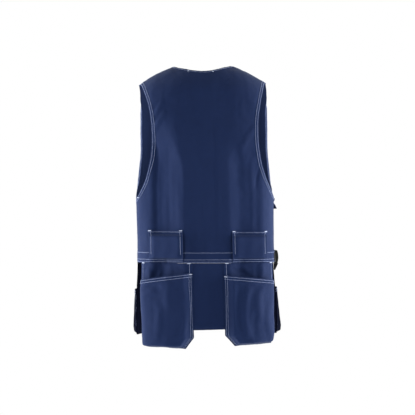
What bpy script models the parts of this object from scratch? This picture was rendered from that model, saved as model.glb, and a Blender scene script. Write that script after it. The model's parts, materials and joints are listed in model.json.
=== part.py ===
"""A craftsman's utility work vest in navy twill, as it hangs on a wearer.

Metres, +Z up. The wearer faces -Y, and the wearer's left is +X. The origin is where the vest sits
on the shoulders, midway between them. Cloth pieces are closed walls. Pieces that are sewn together
keep a seam gap between them.
"""

import math
from collections import namedtuple

import bmesh
import bpy
from mathutils import Vector

# Cloth and the gap that sewn pieces keep
TWILL = 0.0018
WAISTBAND_CLOTH = 0.0026
WAISTBAND_LIFT = 0.0006
WEBBING = 0.0015
SEAM = 0.0003
SIDE_SEAM_HALF = 0.0002

# Heights above the shoulders
NECK_POINT = 0.0216
NECK_RISE = 0.0107
SHOULDER_DROP = 0.0516
UNDERARM = -0.372
ARMHOLE_TURN = 0.30
WAIST_TOP = -0.5284
WAIST_LOW = -0.5617
TAIL_HEM = -0.754

# Widths and depths
NECK_HALF = 0.0855
SHOULDER_HALF = 0.1905
NECK_BACK = 0.080
SHOULDER_ROLL = 0.100
SHOULDER_CURVE = 1.25
TAIL_HALF = 0.068
TAIL_LIFT = -0.0005

# The vest hangs a little askew: its waist is tilted, and its chest is turned to the wearer's right
WAIST_TILT = 0.0192
TILT_LOW = -0.720
TILT_LOW_FADE = 0.100
TILT_HIGH = -0.380
TILT_HIGH_FADE = 0.080
CHEST_SHIFT = 0.008
CHEST_SHIFT_LOW = -0.450
CHEST_SHIFT_FADE = 0.450
CHEST_SHIFT_DEPTH = 0.060

# Front opening
FRONT_EDGE = 0.0055
ZIP_HALF = 0.0050
ZIP_CLOTH = 0.0035
V_BOTTOM = -0.130
V_CURVE = 1.25
ZIP_GAP = 0.002
ZIP_LIFT = 0.0004

# Body form: half the width, and the depth behind and before the side seams, at each height
SQUARENESS = 2.5
Section = namedtuple("Section", "height half_width back front")
SECTIONS = (
    Section(-0.810, 0.2110, 0.1230, 0.1300),
    Section(-0.650, 0.2090, 0.1220, 0.1300),
    Section(-0.560, 0.2045, 0.1200, 0.1310),
    Section(-0.450, 0.2045, 0.1195, 0.1340),
    Section(-0.372, 0.2052, 0.1230, 0.1390),
    Section(-0.200, 0.1990, 0.1270, 0.1380),
    Section(-0.100, 0.1960, 0.1180, 0.1250),
    Section(0.030, 0.1930, 0.1060, 0.1060),
)

# Armhole edges: half the width of the back and of the front, by share of the way from underarm to shoulder
Armhole = namedtuple("Armhole", "share back front")
ARMHOLE = (
    Armhole(0.00, 0.2052, 0.2052),
    Armhole(0.08, 0.2000, 0.2050),
    Armhole(0.16, 0.1925, 0.2040),
    Armhole(0.32, 0.1700, 0.1990),
    Armhole(0.45, 0.1572, 0.1935),
    Armhole(0.58, 0.1562, 0.1928),
    Armhole(0.70, 0.1640, 0.1915),
    Armhole(0.85, 0.1785, 0.1900),
    Armhole(1.00, 0.1905, 0.1905),
)

# Soft folds down the back: a ridge where the height is positive, a valley where it is negative
Fold = namedtuple("Fold", "across half_width top bottom height")
BACK_FOLDS = (
    Fold(0.158, 0.020, -0.230, -0.455, 0.0040),
    Fold(0.108, 0.034, -0.110, -0.455, -0.0036),
    Fold(0.040, 0.030, -0.140, -0.450, 0.0012),
    Fold(-0.086, 0.020, -0.150, -0.455, -0.0030),
    Fold(-0.118, 0.020, -0.170, -0.455, 0.0030),
    Fold(-0.160, 0.016, -0.260, -0.455, 0.0028),
)
FRONT_FOLDS = (
    Fold(0.120, 0.024, -0.160, -0.500, 0.0026),
    Fold(0.070, 0.024, -0.220, -0.500, -0.0020),
)

# Holster pockets. Edges are angles in degrees round from the centre back, at the waist and at the foot.
# The pouch is open at its mouth and cut off at its lower corners. Its walls rise over a share of its width.
Holster = namedtuple(
    "Holster",
    "name turn inner_top inner_low outer_top outer_low mouth_inner mouth_outer"
    " foot_inner foot_outer cut_inner cut_outer cut_height depth_mouth depth_foot outer_wall",
)
HOLSTERS = (
    Holster(
        "back_holster", 1, 9.0, 8.2, 66.5, 60.5, -0.590, -0.616,
        -0.8070, -0.8000, 6.0, 1.5, 0.031, 0.0165, 0.022, 0.20,
    ),
    Holster(
        "back_holster", -1, 9.0, 8.6, 66.5, 59.5, -0.597, -0.616,
        -0.8025, -0.7990, 7.0, 4.5, 0.031, 0.0165, 0.022, 0.20,
    ),
    Holster(
        "front_holster", 1, 161.0, 162.0, 98.0, 97.0, -0.640, -0.650,
        -0.7800, -0.7790, -6.0, 5.0, 0.022, 0.014, 0.025, 0.27,
    ),
    Holster(
        "front_holster", -1, 161.0, 162.0, 98.0, 97.0, -0.636, -0.645,
        -0.7860, -0.7850, -6.0, 4.0, 0.020, 0.018, 0.031, 0.24,
    ),
)
BASE_LIFT = SEAM + TWILL
POUCH_SEAT = BASE_LIFT + SEAM + TWILL
POUCH_COLUMNS = (0.0, 0.03, 0.06, 0.12, 0.21, 0.31, 0.43, 0.57, 0.69, 0.79, 0.88, 0.94, 0.97, 1.0)
BASE_ROWS = (0.0, 0.02, 0.06, 0.13, 0.50, 1.0)
POUCH_ROWS = (0.0, 0.025, 0.06, 0.12, 0.20, 0.36, 0.55, 0.78, 1.0)
FLANGE = 0.03
WALL_SHARE = 0.12
WALL_STEEPNESS = 0.7

# Wide belt loops: a flat face, sewn down along its top and its foot
BeltLoop = namedtuple("BeltLoop", "name turn centre top")
BELT_LOOPS = (
    BeltLoop("belt_loop_left", 1, 0.1195, -0.4675),
    BeltLoop("belt_loop_right", -1, 0.1215, -0.4700),
)
LOOP_FACES_ACROSS = 0.1215
LOOP_FACES_AT = -0.4665
LOOP_COLUMNS = (-0.0505, -0.0360, -0.0180, 0.0, 0.0180, 0.0360, 0.0505)
LOOP_FLAT_HALF = 0.0360
LOOP_STAND = 0.0115
LOOP_END_BEND = 0.0035
LOOP_SEAT = SEAM + TWILL + 0.0006
LOOP_SEWN = 0.007
LOOP_RISE = 0.010
LOOP_ABOVE_SEAM = 0.001

# Chest pocket and flap on the wearer's right
CHEST_OUTER = 97.0
CHEST_INNER = 140.0
CHEST_TOP = -0.380
CHEST_FOOT = -0.512
CHEST_DEPTH = 0.006
CHEST_SEAT = 0.0006
CHEST_FLANGE = 0.04
CHEST_WALL = 0.16
CHEST_MOUTH_SHARE = 0.6
CHEST_COLUMNS = (0.0, 0.04, 0.10, 0.17, 0.25, 0.33, 0.42, 0.51, 0.60, 0.70, 0.80, 0.90, 0.96, 1.0)
CHEST_ROWS = (0.0, 0.04, 0.10, 0.20, 0.45, 0.70, 1.0)
FLAP_COLUMNS = (-0.03, 0.04, 0.12, 0.20, 0.30, 0.40, 0.50, 0.60, 0.70, 0.80, 0.90, 0.97, 1.03)
FLARE_WIDTH = 0.25
Flap = namedtuple("Flap", "height lift flare")
FLAP_ROWS = (
    Flap(-0.4060, 0.0092, 0.0045),
    Flap(-0.3970, 0.0090, 0.0005),
    Flap(-0.3890, 0.0088, -0.0045),
    Flap(-0.3800, 0.0084, -0.0010),
    Flap(-0.3745, 0.0050, 0.0010),
    Flap(-0.3700, 0.0024, 0.0000),
)

# Side strap and buckle on the wearer's right
STRAP_BACK = 75.0
STRAP_FRONT = 108.0
STRAP_HALF = 0.013
STRAP_MIDDLE = -0.5480
STRAP_LIFT = 0.0026
BUCKLE_HALF_HEIGHT = 0.0195
BUCKLE_HALF_LENGTH = 0.0200
BUCKLE_THICK = 0.0072
BUCKLE_Y = -0.012
BUCKLE_LENGTHS = (-1, -0.75, -0.15, 0.15, 0.75, 1)
BUCKLE_HEIGHTS = (-1, -0.76, 0.76, 1)
BUCKLE_WINDOWS = ((1, 1), (3, 1))
BUCKLE_ROUNDING = 0.0009
STRAP_END_LOW = -0.588
STRAP_END_HALF = 0.010
STRAP_END_BACK = 0.0004
STRAP_END_LEAN = 0.0015

# Hanger loop inside the neck
HANGER_HALF = 0.033
HANGER_SAG = 0.014
HANGER_TAPE = 0.008
HANGER_BELOW_EDGE = 0.006
HANGER_SEAT = 0.0016
HANGER_SLACK = 0.0035
HANGER_STEPS = 10

# Mesh density
NECK_COLUMNS = 4
FRONT_NECK_COLUMNS = 6
SHOULDER_COLUMNS = 8
SIDE_COLUMNS = 5
LOW_ROWS = 8
HIGH_ROWS = 13
TAIL_COLUMNS = 10
TAIL_ROWS = 6
ZIP_ROWS = 18
STRAP_STEPS = 6

NAVY = (0.0194, 0.0343, 0.0976, 1.0)
NAVY_DARK = (0.0120, 0.0200, 0.0520, 1.0)
BLACK = (0.0110, 0.0120, 0.0120, 1.0)
SHARP_ANGLE = 40
TINY = 1e-4


def clear_scene():
    for leftover in list(bpy.data.objects):
        bpy.data.objects.remove(leftover, do_unlink=True)


def finish(name, colour, roughness):
    material = bpy.data.materials.new(name)
    material.use_nodes = True
    shader = material.node_tree.nodes["Principled BSDF"]
    shader.inputs["Base Color"].default_value = colour
    shader.inputs["Roughness"].default_value = roughness
    shader.inputs["Metallic"].default_value = 0.0
    return material


def blend(low, high, share):
    return low + (high - low) * share


def clamp(value):
    return min(1.0, max(0.0, value))


def ease(share):
    share = clamp(share)
    return share * share * (3 - 2 * share)


def read(table, value, column):
    """A column of a table at a value of its first column, on a smooth curve through the rows."""
    keys = [row[0] for row in table]
    entries = [getattr(row, column) for row in table]
    if value <= keys[0]:
        return entries[0]
    if value >= keys[-1]:
        return entries[-1]
    low = max(index for index in range(len(keys) - 1) if keys[index] <= value)
    span = keys[low + 1] - keys[low]
    share = (value - keys[low]) / span

    def slope(index):
        before = max(index - 1, 0)
        after = min(index + 1, len(keys) - 1)
        return (entries[after] - entries[before]) / (keys[after] - keys[before])

    start, end = entries[low], entries[low + 1]
    leave, arrive = slope(low) * span, slope(low + 1) * span
    square, cube = share**2, share**3
    return (
        start * (2 * cube - 3 * square + 1)
        + leave * (cube - 2 * square + share)
        + end * (3 * square - 2 * cube)
        + arrive * (cube - square)
    )


def body(angle, height):
    """A point of the body form, at an angle in degrees round from the centre back to the wearer's left."""
    across = math.sin(math.radians(angle))
    along = math.cos(math.radians(angle))
    power = 2 / SQUARENESS
    depth = read(SECTIONS, height, "back" if along > 0 else "front")
    x = read(SECTIONS, height, "half_width") * math.copysign(abs(across) ** power, across)
    y = depth * math.copysign(abs(along) ** power, along)
    return Vector((x, y, height))


def outward(angle, height):
    turn = body(angle + 0.2, height) - body(angle - 0.2, height)
    climb = body(angle, height + 0.001) - body(angle, height - 0.001)
    return climb.cross(turn).normalized()


def lifted(angle, height, lift):
    """A point that stands off the body form, measured square to it."""
    return body(angle, height) + outward(angle, height) * lift


def angle_at(x, height):
    """The angle on the back at which the body form is this far across."""
    share = min(1.0, abs(x) / read(SECTIONS, height, "half_width"))
    return math.copysign(math.degrees(math.asin(share ** (SQUARENESS / 2))), x)


def crest(x):
    """The height of the shoulder's top."""
    across = abs(x)
    if across < NECK_HALF:
        return NECK_POINT + NECK_RISE * (1 - (across / NECK_HALF) ** 2)
    share = (across - NECK_HALF) / (SHOULDER_HALF - NECK_HALF)
    return NECK_POINT - SHOULDER_DROP * share**SHOULDER_CURVE


def reach(x, height, side):
    """How far the body form goes back (side 1) or forward (side -1) at this place."""
    depth = read(SECTIONS, height, "back" if side > 0 else "front")
    share = min(1.0, abs(x) / read(SECTIONS, height, "half_width"))
    return depth * (1 - share**SQUARENESS) ** (1 / SQUARENESS)


def torso(x, side, climb):
    """A point of the upper body, where climb is the way up the cloth from the waist."""
    straight = crest(x) - SHOULDER_ROLL - WAIST_TOP
    if climb <= straight:
        height = WAIST_TOP + climb
        return Vector((x, side * reach(x, height, side), height))
    lean = (climb - straight) / SHOULDER_ROLL
    height = crest(x) - SHOULDER_ROLL * (1 - math.sin(lean))
    return Vector((x, side * reach(x, height, side) * math.cos(lean), height))


def climb_to(x, height):
    """The way up the cloth to a height."""
    straight = crest(x) - SHOULDER_ROLL - WAIST_TOP
    if height <= WAIST_TOP + straight:
        return height - WAIST_TOP
    rise = clamp((height - crest(x) + SHOULDER_ROLL) / SHOULDER_ROLL)
    return straight + SHOULDER_ROLL * math.asin(rise)


def top_climb(x, side):
    """The way up the cloth to the neckline or the shoulder seam."""
    across = abs(x)
    if across >= NECK_HALF - TINY:
        return climb_to(x, crest(x))
    if side < 0:
        share = clamp((across - FRONT_EDGE) / (NECK_HALF - FRONT_EDGE))
        neck_point = climb_to(NECK_HALF, crest(NECK_HALF))
        return blend(climb_to(FRONT_EDGE, V_BOTTOM), neck_point, share**V_CURVE)
    back = NECK_BACK * math.sqrt(1 - (across / NECK_HALF) ** 2)
    lean = math.acos(clamp(back / reach(x, 0.0, side)))
    return crest(x) - SHOULDER_ROLL - WAIST_TOP + SHOULDER_ROLL * lean


def armhole_point(share, side):
    """(across, height) of the armhole's edge at a share of the way from underarm to shoulder."""
    height = blend(UNDERARM, crest(SHOULDER_HALF), (1 - math.cos(math.pi * share)) / 2)
    return read(ARMHOLE, share, "back" if side > 0 else "front"), height


def turn_at(x, height):
    """The turn round the body, in radians from its centre line, at which the form is this far across."""
    share = min(1.0, x / read(SECTIONS, height, "half_width"))
    return math.asin(share ** (SQUARENESS / 2))


def across_at(turn, height):
    return read(SECTIONS, height, "half_width") * math.sin(turn) ** (2 / SQUARENESS)


def column_shares(start, neck_columns):
    """Shares of the way from the centre to the armhole, one of them at the neck point."""
    top = crest(SHOULDER_HALF)
    first, neck_turn, last = [turn_at(x, top) for x in (start, NECK_HALF, SHOULDER_HALF)]
    neck = (neck_turn - first) / (last - first)
    inner = [neck * index / neck_columns for index in range(neck_columns)]
    outer = [blend(neck, 1.0, index / SHOULDER_COLUMNS) for index in range(SHOULDER_COLUMNS + 1)]
    return inner + outer


def fold_height(folds, x, height):
    total = 0.0
    for fold in folds:
        away = abs(x - fold.across) / fold.half_width
        if away >= 1 or not fold.bottom < height < fold.top:
            continue
        share = (height - fold.bottom) / (fold.top - fold.bottom)
        total += fold.height * (1 + math.cos(math.pi * away)) / 2 * ease(2 * min(share, 1 - share))
    return total


def low_columns(side, start, shares):
    """(turn, top height) of the panel's columns below the level where the armhole turns in."""
    edge_across, edge_height = armhole_point(ARMHOLE_TURN, side)
    first, edge_turn = turn_at(start, edge_height), turn_at(edge_across, edge_height)
    columns = [(blend(first, edge_turn, share), edge_height) for share in shares]
    for index in range(SIDE_COLUMNS - 1, -1, -1):
        across, height = armhole_point(ARMHOLE_TURN * index / SIDE_COLUMNS, side)
        columns.append((turn_at(across, height), height))
    return columns


def low_rows(side, start, shares):
    """Rows from the waist to the level where the armhole turns in, and out to the side seam below it."""
    columns = low_columns(side, start, shares)
    low = WAIST_TOP + SEAM
    rows = []
    for row in range(LOW_ROWS + 1):
        heights = [blend(low, top, row / LOW_ROWS) for _, top in columns]
        rows.append(
            [
                torso(across_at(turn, height), side, height - WAIST_TOP)
                for (turn, _), height in zip(columns, heights)
            ]
        )
    return rows


def high_rows(side, start, shares):
    """Rows from the level where the armhole turns in to the shoulder seam and the neckline."""
    top_height = crest(SHOULDER_HALF)
    first, last = turn_at(start, top_height), turn_at(SHOULDER_HALF, top_height)
    tops = [top_climb(across_at(blend(first, last, share), top_height), side) for share in shares]
    bottom = armhole_point(ARMHOLE_TURN, side)[1] - WAIST_TOP
    edge_top = climb_to(SHOULDER_HALF, top_height)
    rows = []
    for row in range(1, HIGH_ROWS + 1):
        across, height = armhole_point(blend(ARMHOLE_TURN, 1.0, row / HIGH_ROWS), side)
        way = (climb_to(across, height) - bottom) / (edge_top - bottom)
        line = []
        for share, top in zip(shares, tops):
            turn = blend(turn_at(start, height), turn_at(across, height), share)
            line.append(torso(across_at(turn, height), side, blend(bottom, top, way)))
        rows.append(line + [None] * SIDE_COLUMNS)
    return rows


def panel_grid(side, start):
    """Rows of points from the waist up, and columns from the centre to the wearer's left."""
    shares = column_shares(start, NECK_COLUMNS if side > 0 else FRONT_NECK_COLUMNS)
    grid = low_rows(side, start, shares) + high_rows(side, start, shares)
    for row in grid:
        for point in row:
            if point is not None:
                point.y += side * SIDE_SEAM_HALF
    return grid


def cloth_faces(mesh, grid):
    """Vertices and faces of a grid of points, some of which may be missing."""
    verts = [[mesh.verts.new(point) if point is not None else None for point in row] for row in grid]
    for low, high in zip(verts, verts[1:]):
        for c in range(len(low) - 1):
            corners = (low[c], low[c + 1], high[c + 1], high[c])
            if None not in corners:
                mesh.faces.new(corners)
    mesh.normal_update()
    outwards = sum(vert.normal.x * vert.co.x + vert.normal.y * vert.co.y for vert in mesh.verts)
    if outwards < 0:
        bmesh.ops.reverse_faces(mesh, faces=mesh.faces)
        mesh.normal_update()
    return verts


def wall(name, grid, thickness, material, level_rows=(), folds=()):
    """A closed wall: the grid is its outer face, and the inner face lies one thickness behind it.

    Edges at the side and shoulder seams stay square to the seam, and those of a level row stay level.
    """
    mesh = bmesh.new()
    verts = cloth_faces(mesh, grid)
    normals = {vert: vert.normal.copy() for vert in mesh.verts}
    for vert, normal in normals.items():
        if abs(vert.co.y) < 2 * SIDE_SEAM_HALF:
            normal.y = 0.0
    for row in level_rows:
        for vert in verts[row]:
            normals[vert].z = 0.0
    faces = [list(face.verts) for face in mesh.faces]
    rim = [
        (loop.vert, loop.link_loop_next.vert)
        for face in mesh.faces
        for loop in face.loops
        if len(loop.edge.link_faces) == 1
    ]
    backs = {}
    for vert, normal in normals.items():
        normal.normalize()
        vert.co += normal * fold_height(folds, vert.co.x, vert.co.z)
        backs[vert] = mesh.verts.new(vert.co - normal * thickness)
    for corners in faces:
        mesh.faces.new([backs[vert] for vert in reversed(corners)])
    for start, end in rim:
        mesh.faces.new((end, start, backs[start], backs[end]))
    for vert in mesh.verts:
        vert.co = hang(vert.co)
    bmesh.ops.recalc_face_normals(mesh, faces=mesh.faces)
    return place(name, mesh, material)


def hang(point):
    """Where a point of the straight form comes to when the vest hangs askew."""
    tilt = WAIST_TILT * ease((point.z - TILT_LOW) / TILT_LOW_FADE)
    tilt *= ease((TILT_HIGH - point.z) / TILT_HIGH_FADE)
    shift = CHEST_SHIFT * ease((point.z - CHEST_SHIFT_LOW) / CHEST_SHIFT_FADE)
    shift *= ease(-point.y / CHEST_SHIFT_DEPTH)
    return Vector((point.x - shift, point.y, point.z + tilt * point.x))


def place(name, mesh, material):
    data = bpy.data.meshes.new(name)
    mesh.to_mesh(data)
    mesh.free()
    data.materials.append(material)
    data.shade_smooth()
    data.set_sharp_from_angle(angle=math.radians(SHARP_ANGLE))
    piece = bpy.data.objects.new(name, data)
    bpy.context.scene.collection.objects.link(piece)
    return piece


def mirrored(grid):
    return [
        [None if point is None else Vector((-point.x, point.y, point.z)) for point in row] for row in grid
    ]


def make_back_panel(material):
    half = panel_grid(1, 0.0)
    grid = [list(reversed(left[1:])) + right for left, right in zip(mirrored(half), half)]
    wall("back_panel", grid, TWILL, material, level_rows=(0,), folds=BACK_FOLDS)


def make_front_panels(material):
    half = panel_grid(-1, FRONT_EDGE)
    wall("front_panel_left", half, TWILL, material, level_rows=(0,), folds=FRONT_FOLDS)
    other_folds = [fold._replace(across=-fold.across) for fold in FRONT_FOLDS]
    wall("front_panel_right", mirrored(half), TWILL, material, level_rows=(0,), folds=other_folds)


def strip(name, angles, heights, lift, thickness, material):
    """A wall that follows the body form between angles and heights."""
    grid = [[lifted(angle, height, lift) for angle in angles] for height in heights]
    wall(name, grid, thickness, material, level_rows=(0, -1))


def seam_angles(side, start):
    """Angles of a panel's columns along the waist, from its centre line to the side seam."""
    shares = column_shares(start, NECK_COLUMNS if side > 0 else FRONT_NECK_COLUMNS)
    turns = [math.degrees(turn) for turn, _ in low_columns(side, start, shares)]
    return turns if side > 0 else [180 - turn for turn in turns]


def make_waistband(material):
    half = seam_angles(1, 0.0) + list(reversed(seam_angles(-1, FRONT_EDGE)[:-1]))
    angles = [-angle for angle in reversed(half[1:])] + half
    strip("waistband", angles, (WAIST_LOW, WAIST_TOP), WAISTBAND_LIFT, WAISTBAND_CLOTH, material)


def make_back_tail(material):
    grid = []
    for row in range(TAIL_ROWS + 1):
        height = blend(TAIL_HEM, WAIST_LOW - SEAM, row / TAIL_ROWS)
        across = [TAIL_HALF * (2 * column / TAIL_COLUMNS - 1) for column in range(TAIL_COLUMNS + 1)]
        grid.append([lifted(angle_at(x, height), height, TAIL_LIFT) for x in across])
    wall("back_tail", grid, TWILL, material, level_rows=(-1,))


def holster_angle(holster, share, height_inner, height_outer):
    """The angle at a share of the way from the inner to the outer edge, with the lower corners cut off."""
    inner_way = clamp((height_inner - holster.foot_inner) / (WAIST_LOW - holster.foot_inner))
    outer_way = clamp((height_outer - holster.foot_outer) / (WAIST_LOW - holster.foot_outer))
    inner_cut = 1 - clamp((height_inner - holster.foot_inner) / holster.cut_height)
    outer_cut = 1 - clamp((height_outer - holster.foot_outer) / holster.cut_height)
    inner = blend(holster.inner_low, holster.inner_top, inner_way) + holster.cut_inner * inner_cut
    direction = math.copysign(1.0, holster.inner_top - holster.outer_top)
    outer = blend(holster.outer_low, holster.outer_top, outer_way)
    outer += direction * holster.cut_outer * outer_cut
    return holster.turn * blend(inner, outer, share)


def wall_rise(share, wall_share):
    """0 on the sewn flange, 1 past the pocket's standing wall."""
    return ease((share - FLANGE) / (wall_share - FLANGE)) ** WALL_STEEPNESS


def holster_grid(holster, rows, top_inner, top_outer, lift_at):
    grid = []
    for row in rows:
        inner_height = blend(holster.foot_inner, top_inner, row)
        outer_height = blend(holster.foot_outer, top_outer, row)
        line = []
        for column in POUCH_COLUMNS:
            angle = holster_angle(holster, column, inner_height, outer_height)
            height = blend(inner_height, outer_height, column)
            line.append(lifted(angle, height, lift_at(column, row)))
        grid.append(line)
    return grid


def holster_name(holster, part):
    return f"{holster.name}_{part}_{'left' if holster.turn > 0 else 'right'}"


def make_holster_base(holster, material):
    top = WAIST_LOW - SEAM
    grid = holster_grid(holster, BASE_ROWS, top, top, lambda column, row: BASE_LIFT)
    wall(holster_name(holster, "base"), grid, TWILL, material, level_rows=(-1,))


def make_holster_pouch(holster, material):
    def lift_at(column, row):
        rise = wall_rise(column, WALL_SHARE) * wall_rise(1 - column, holster.outer_wall)
        rise *= wall_rise(row, WALL_SHARE)
        return POUCH_SEAT + blend(holster.depth_foot, holster.depth_mouth, row) * rise

    grid = holster_grid(holster, POUCH_ROWS, holster.mouth_inner, holster.mouth_outer, lift_at)
    wall(holster_name(holster, "pouch"), grid, TWILL, material)


def loop_plane():
    """The upright plane of a belt loop's flat face: its normal, the way along it, and how far out it is."""
    middle = angle_at(LOOP_FACES_ACROSS, LOOP_FACES_AT)
    normal = outward(middle, LOOP_FACES_AT)
    normal.z = 0.0
    normal.normalize()
    along = Vector((normal.y, -normal.x, 0.0))
    low = body(angle_at(LOOP_FACES_ACROSS, WAIST_LOW), WAIST_LOW)
    high = body(middle, LOOP_FACES_AT)
    return normal, along, max(low.dot(normal), high.dot(normal)) + LOOP_STAND


def make_belt_loop(loop, material):
    """A wide flat loop: its face is one plane, and it is sewn down along its top and its foot."""
    normal, along, stand = loop_plane()
    centre = body(angle_at(loop.centre, loop.top), loop.top).dot(along)
    foot = WAIST_LOW + LOOP_ABOVE_SEAM
    sewn_heights = (foot, foot + LOOP_SEWN, loop.top - LOOP_SEWN, loop.top)
    flat_heights = (foot + LOOP_SEWN + LOOP_RISE, loop.top - LOOP_SEWN - LOOP_RISE)
    grid = []
    for height in sorted(sewn_heights + flat_heights):
        line = []
        for offset in LOOP_COLUMNS:
            place_of = along * (centre + offset) + normal * stand
            if height in flat_heights:
                bend = LOOP_END_BEND if abs(offset) > LOOP_FLAT_HALF else 0.0
                place_of -= normal * bend
                line.append(Vector((place_of.x, place_of.y, height)))
            else:
                line.append(lifted(angle_at(place_of.x, height), height, LOOP_SEAT))
        grid.append(line)
    wall(loop.name, grid if loop.turn > 0 else mirrored(grid), TWILL, material)


def make_chest_pocket(material):
    grid = []
    for row in CHEST_ROWS:
        height = blend(CHEST_FOOT, CHEST_TOP, row)
        line = []
        for column in CHEST_COLUMNS:
            angle = -blend(CHEST_OUTER, CHEST_INNER, column)
            rise = ease((min(column, 1 - column) - CHEST_FLANGE) / CHEST_WALL)
            rise *= ease((row - CHEST_FLANGE) / CHEST_WALL) * blend(1.0, CHEST_MOUTH_SHARE, row)
            fold = fold_height(FRONT_FOLDS, -body(angle, height).x, height)
            line.append(lifted(angle, height, CHEST_SEAT + TWILL + fold + CHEST_DEPTH * rise))
        grid.append(line)
    wall("chest_pocket_right", grid, TWILL, material)


def make_chest_flap(material):
    grid = []
    for row in FLAP_ROWS:
        line = []
        for column in FLAP_COLUMNS:
            angle = -blend(CHEST_OUTER, CHEST_INNER, column)
            flare = row.flare * (1 - ease(column / FLARE_WIDTH))
            fold = fold_height(FRONT_FOLDS, -body(angle, row.height).x, row.height)
            line.append(lifted(angle, row.height, row.lift + fold + flare))
        grid.append(line)
    wall("chest_flap_right", grid, TWILL, material)


def make_front_zip(material):
    grid = []
    for row in range(ZIP_ROWS + 1):
        height = blend(WAIST_LOW, V_BOTTOM - ZIP_GAP, row / ZIP_ROWS)
        y = -read(SECTIONS, height, "front") - ZIP_LIFT
        grid.append([Vector((x, y, height)) for x in (-ZIP_HALF, 0.0, ZIP_HALF)])
    wall("front_zip", grid, ZIP_CLOTH, material)


def make_side_strap(material):
    angles = [-blend(STRAP_BACK, STRAP_FRONT, index / STRAP_STEPS) for index in range(STRAP_STEPS + 1)]
    heights = (STRAP_MIDDLE - STRAP_HALF, STRAP_MIDDLE + STRAP_HALF)
    strip("side_strap_right", angles, heights, STRAP_LIFT, WEBBING, material)


def cell_plate(name, xs, ys, zs, holes, material):
    """A plate between the two x values, made of cells of a grid in y and z, with some cells left open."""
    mesh = bmesh.new()
    cells = {(i, j) for i in range(len(ys) - 1) for j in range(len(zs) - 1)} - set(holes)
    corners = {}

    def corner(k, i, j):
        if (k, i, j) not in corners:
            corners[k, i, j] = mesh.verts.new((xs[k], ys[i], zs[j]))
        return corners[k, i, j]

    for i, j in sorted(cells):
        ring = ((i, j), (i + 1, j), (i + 1, j + 1), (i, j + 1))
        for k in (0, 1):
            mesh.faces.new([corner(k, *place_of) for place_of in ring])
        neighbours = ((i, j - 1), (i + 1, j), (i, j + 1), (i - 1, j))
        for index, neighbour in enumerate(neighbours):
            if neighbour in cells:
                continue
            start, end = ring[index], ring[(index + 1) % 4]
            mesh.faces.new((corner(0, *start), corner(0, *end), corner(1, *end), corner(1, *start)))
    bmesh.ops.recalc_face_normals(mesh, faces=mesh.faces)
    return place(name, mesh, material)


def strap_face():
    """How far to the wearer's right the strap's outer face lies, with the seat gap."""
    return -(read(SECTIONS, STRAP_MIDDLE, "half_width") + STRAP_LIFT + SEAM)


def make_side_buckle(material):
    """A frame with a bar across it, standing on the strap."""
    inner = strap_face()
    middle = hang(Vector((inner, BUCKLE_Y, STRAP_MIDDLE))).z
    ys = [BUCKLE_Y + share * BUCKLE_HALF_LENGTH for share in BUCKLE_LENGTHS]
    zs = [middle + share * BUCKLE_HALF_HEIGHT for share in BUCKLE_HEIGHTS]
    xs = (inner - BUCKLE_THICK, inner)
    buckle = cell_plate("side_buckle_right", xs, ys, zs, BUCKLE_WINDOWS, material)
    bevel = buckle.modifiers.new("rounded edges", "BEVEL")
    bevel.width = BUCKLE_ROUNDING
    bevel.segments = 1
    bevel.limit_method = "ANGLE"


def make_side_strap_end(material):
    """The strap's free end, which hangs from the buckle."""
    middle = strap_face() - BUCKLE_THICK / 2 - WEBBING / 2
    start = STRAP_MIDDLE - BUCKLE_HALF_HEIGHT - SEAM
    grid = []
    for share in (0.0, 0.35, 0.7, 1.0):
        height = blend(STRAP_END_LOW, start, share)
        x = middle - STRAP_END_BACK - STRAP_END_LEAN * (1 - share)
        across = (-STRAP_END_HALF, 0.0, STRAP_END_HALF)
        grid.append([Vector((x, BUCKLE_Y + offset, height)) for offset in across])
    wall("side_strap_end_right", grid, WEBBING, material)


def make_hanger_loop(material):
    """A tape inside the neck, seated at its two ends just under the neckline."""
    grid = [[], []]
    for index in range(HANGER_STEPS + 1):
        share = 2 * index / HANGER_STEPS - 1
        x = HANGER_HALF * share
        top = top_climb(x, 1) - HANGER_BELOW_EDGE - HANGER_SAG * (1 - share**2)
        away = TWILL + HANGER_SEAT + HANGER_SLACK * (1 - share**4)
        for row, climb in enumerate((top - HANGER_TAPE, top)):
            lean = max(0.0, climb - (crest(x) - SHOULDER_ROLL - WAIST_TOP)) / SHOULDER_ROLL
            normal = Vector((0.0, math.cos(lean), math.sin(lean)))
            grid[row].append(torso(x, 1, climb) - normal * away)
    wall("hanger_loop", grid, WEBBING, material)


def main():
    clear_scene()
    twill = finish("navy twill", NAVY, 0.85)
    twill_dark = finish("navy twill in shade", NAVY_DARK, 0.85)
    webbing = finish("black webbing", BLACK, 0.75)
    plastic = finish("black plastic", BLACK, 0.35)
    zip_tape = finish("zip tape", NAVY_DARK, 0.7)
    make_back_panel(twill)
    make_front_panels(twill)
    make_waistband(twill)
    make_back_tail(twill)
    for holster in HOLSTERS:
        cloth = twill if holster.name == "back_holster" else twill_dark
        make_holster_base(holster, cloth)
        make_holster_pouch(holster, cloth)
    for loop in BELT_LOOPS:
        make_belt_loop(loop, twill)
    make_chest_pocket(twill)
    make_chest_flap(twill)
    make_front_zip(zip_tape)
    make_side_strap(webbing)
    make_side_buckle(plastic)
    make_side_strap_end(webbing)
    make_hanger_loop(twill)


main()
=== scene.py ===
"""The looks of a craftsman's utility work vest in navy twill with pale topstitching.

Metres, +Z up. The wearer faces -Y, and the wearer's left is +X. Each cloth piece is a closed wall on
the same form as the solid that it stands for, with its folds, puckers, hems and stitches.
"""

import json
import math
from collections import namedtuple

import bmesh
import bpy
import numpy as np
from bpy.props import FloatProperty, FloatVectorProperty, PointerProperty
from mathutils import Matrix, Vector, noise
from mathutils.bvhtree import BVHTree
from mathutils.kdtree import KDTree

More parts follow.
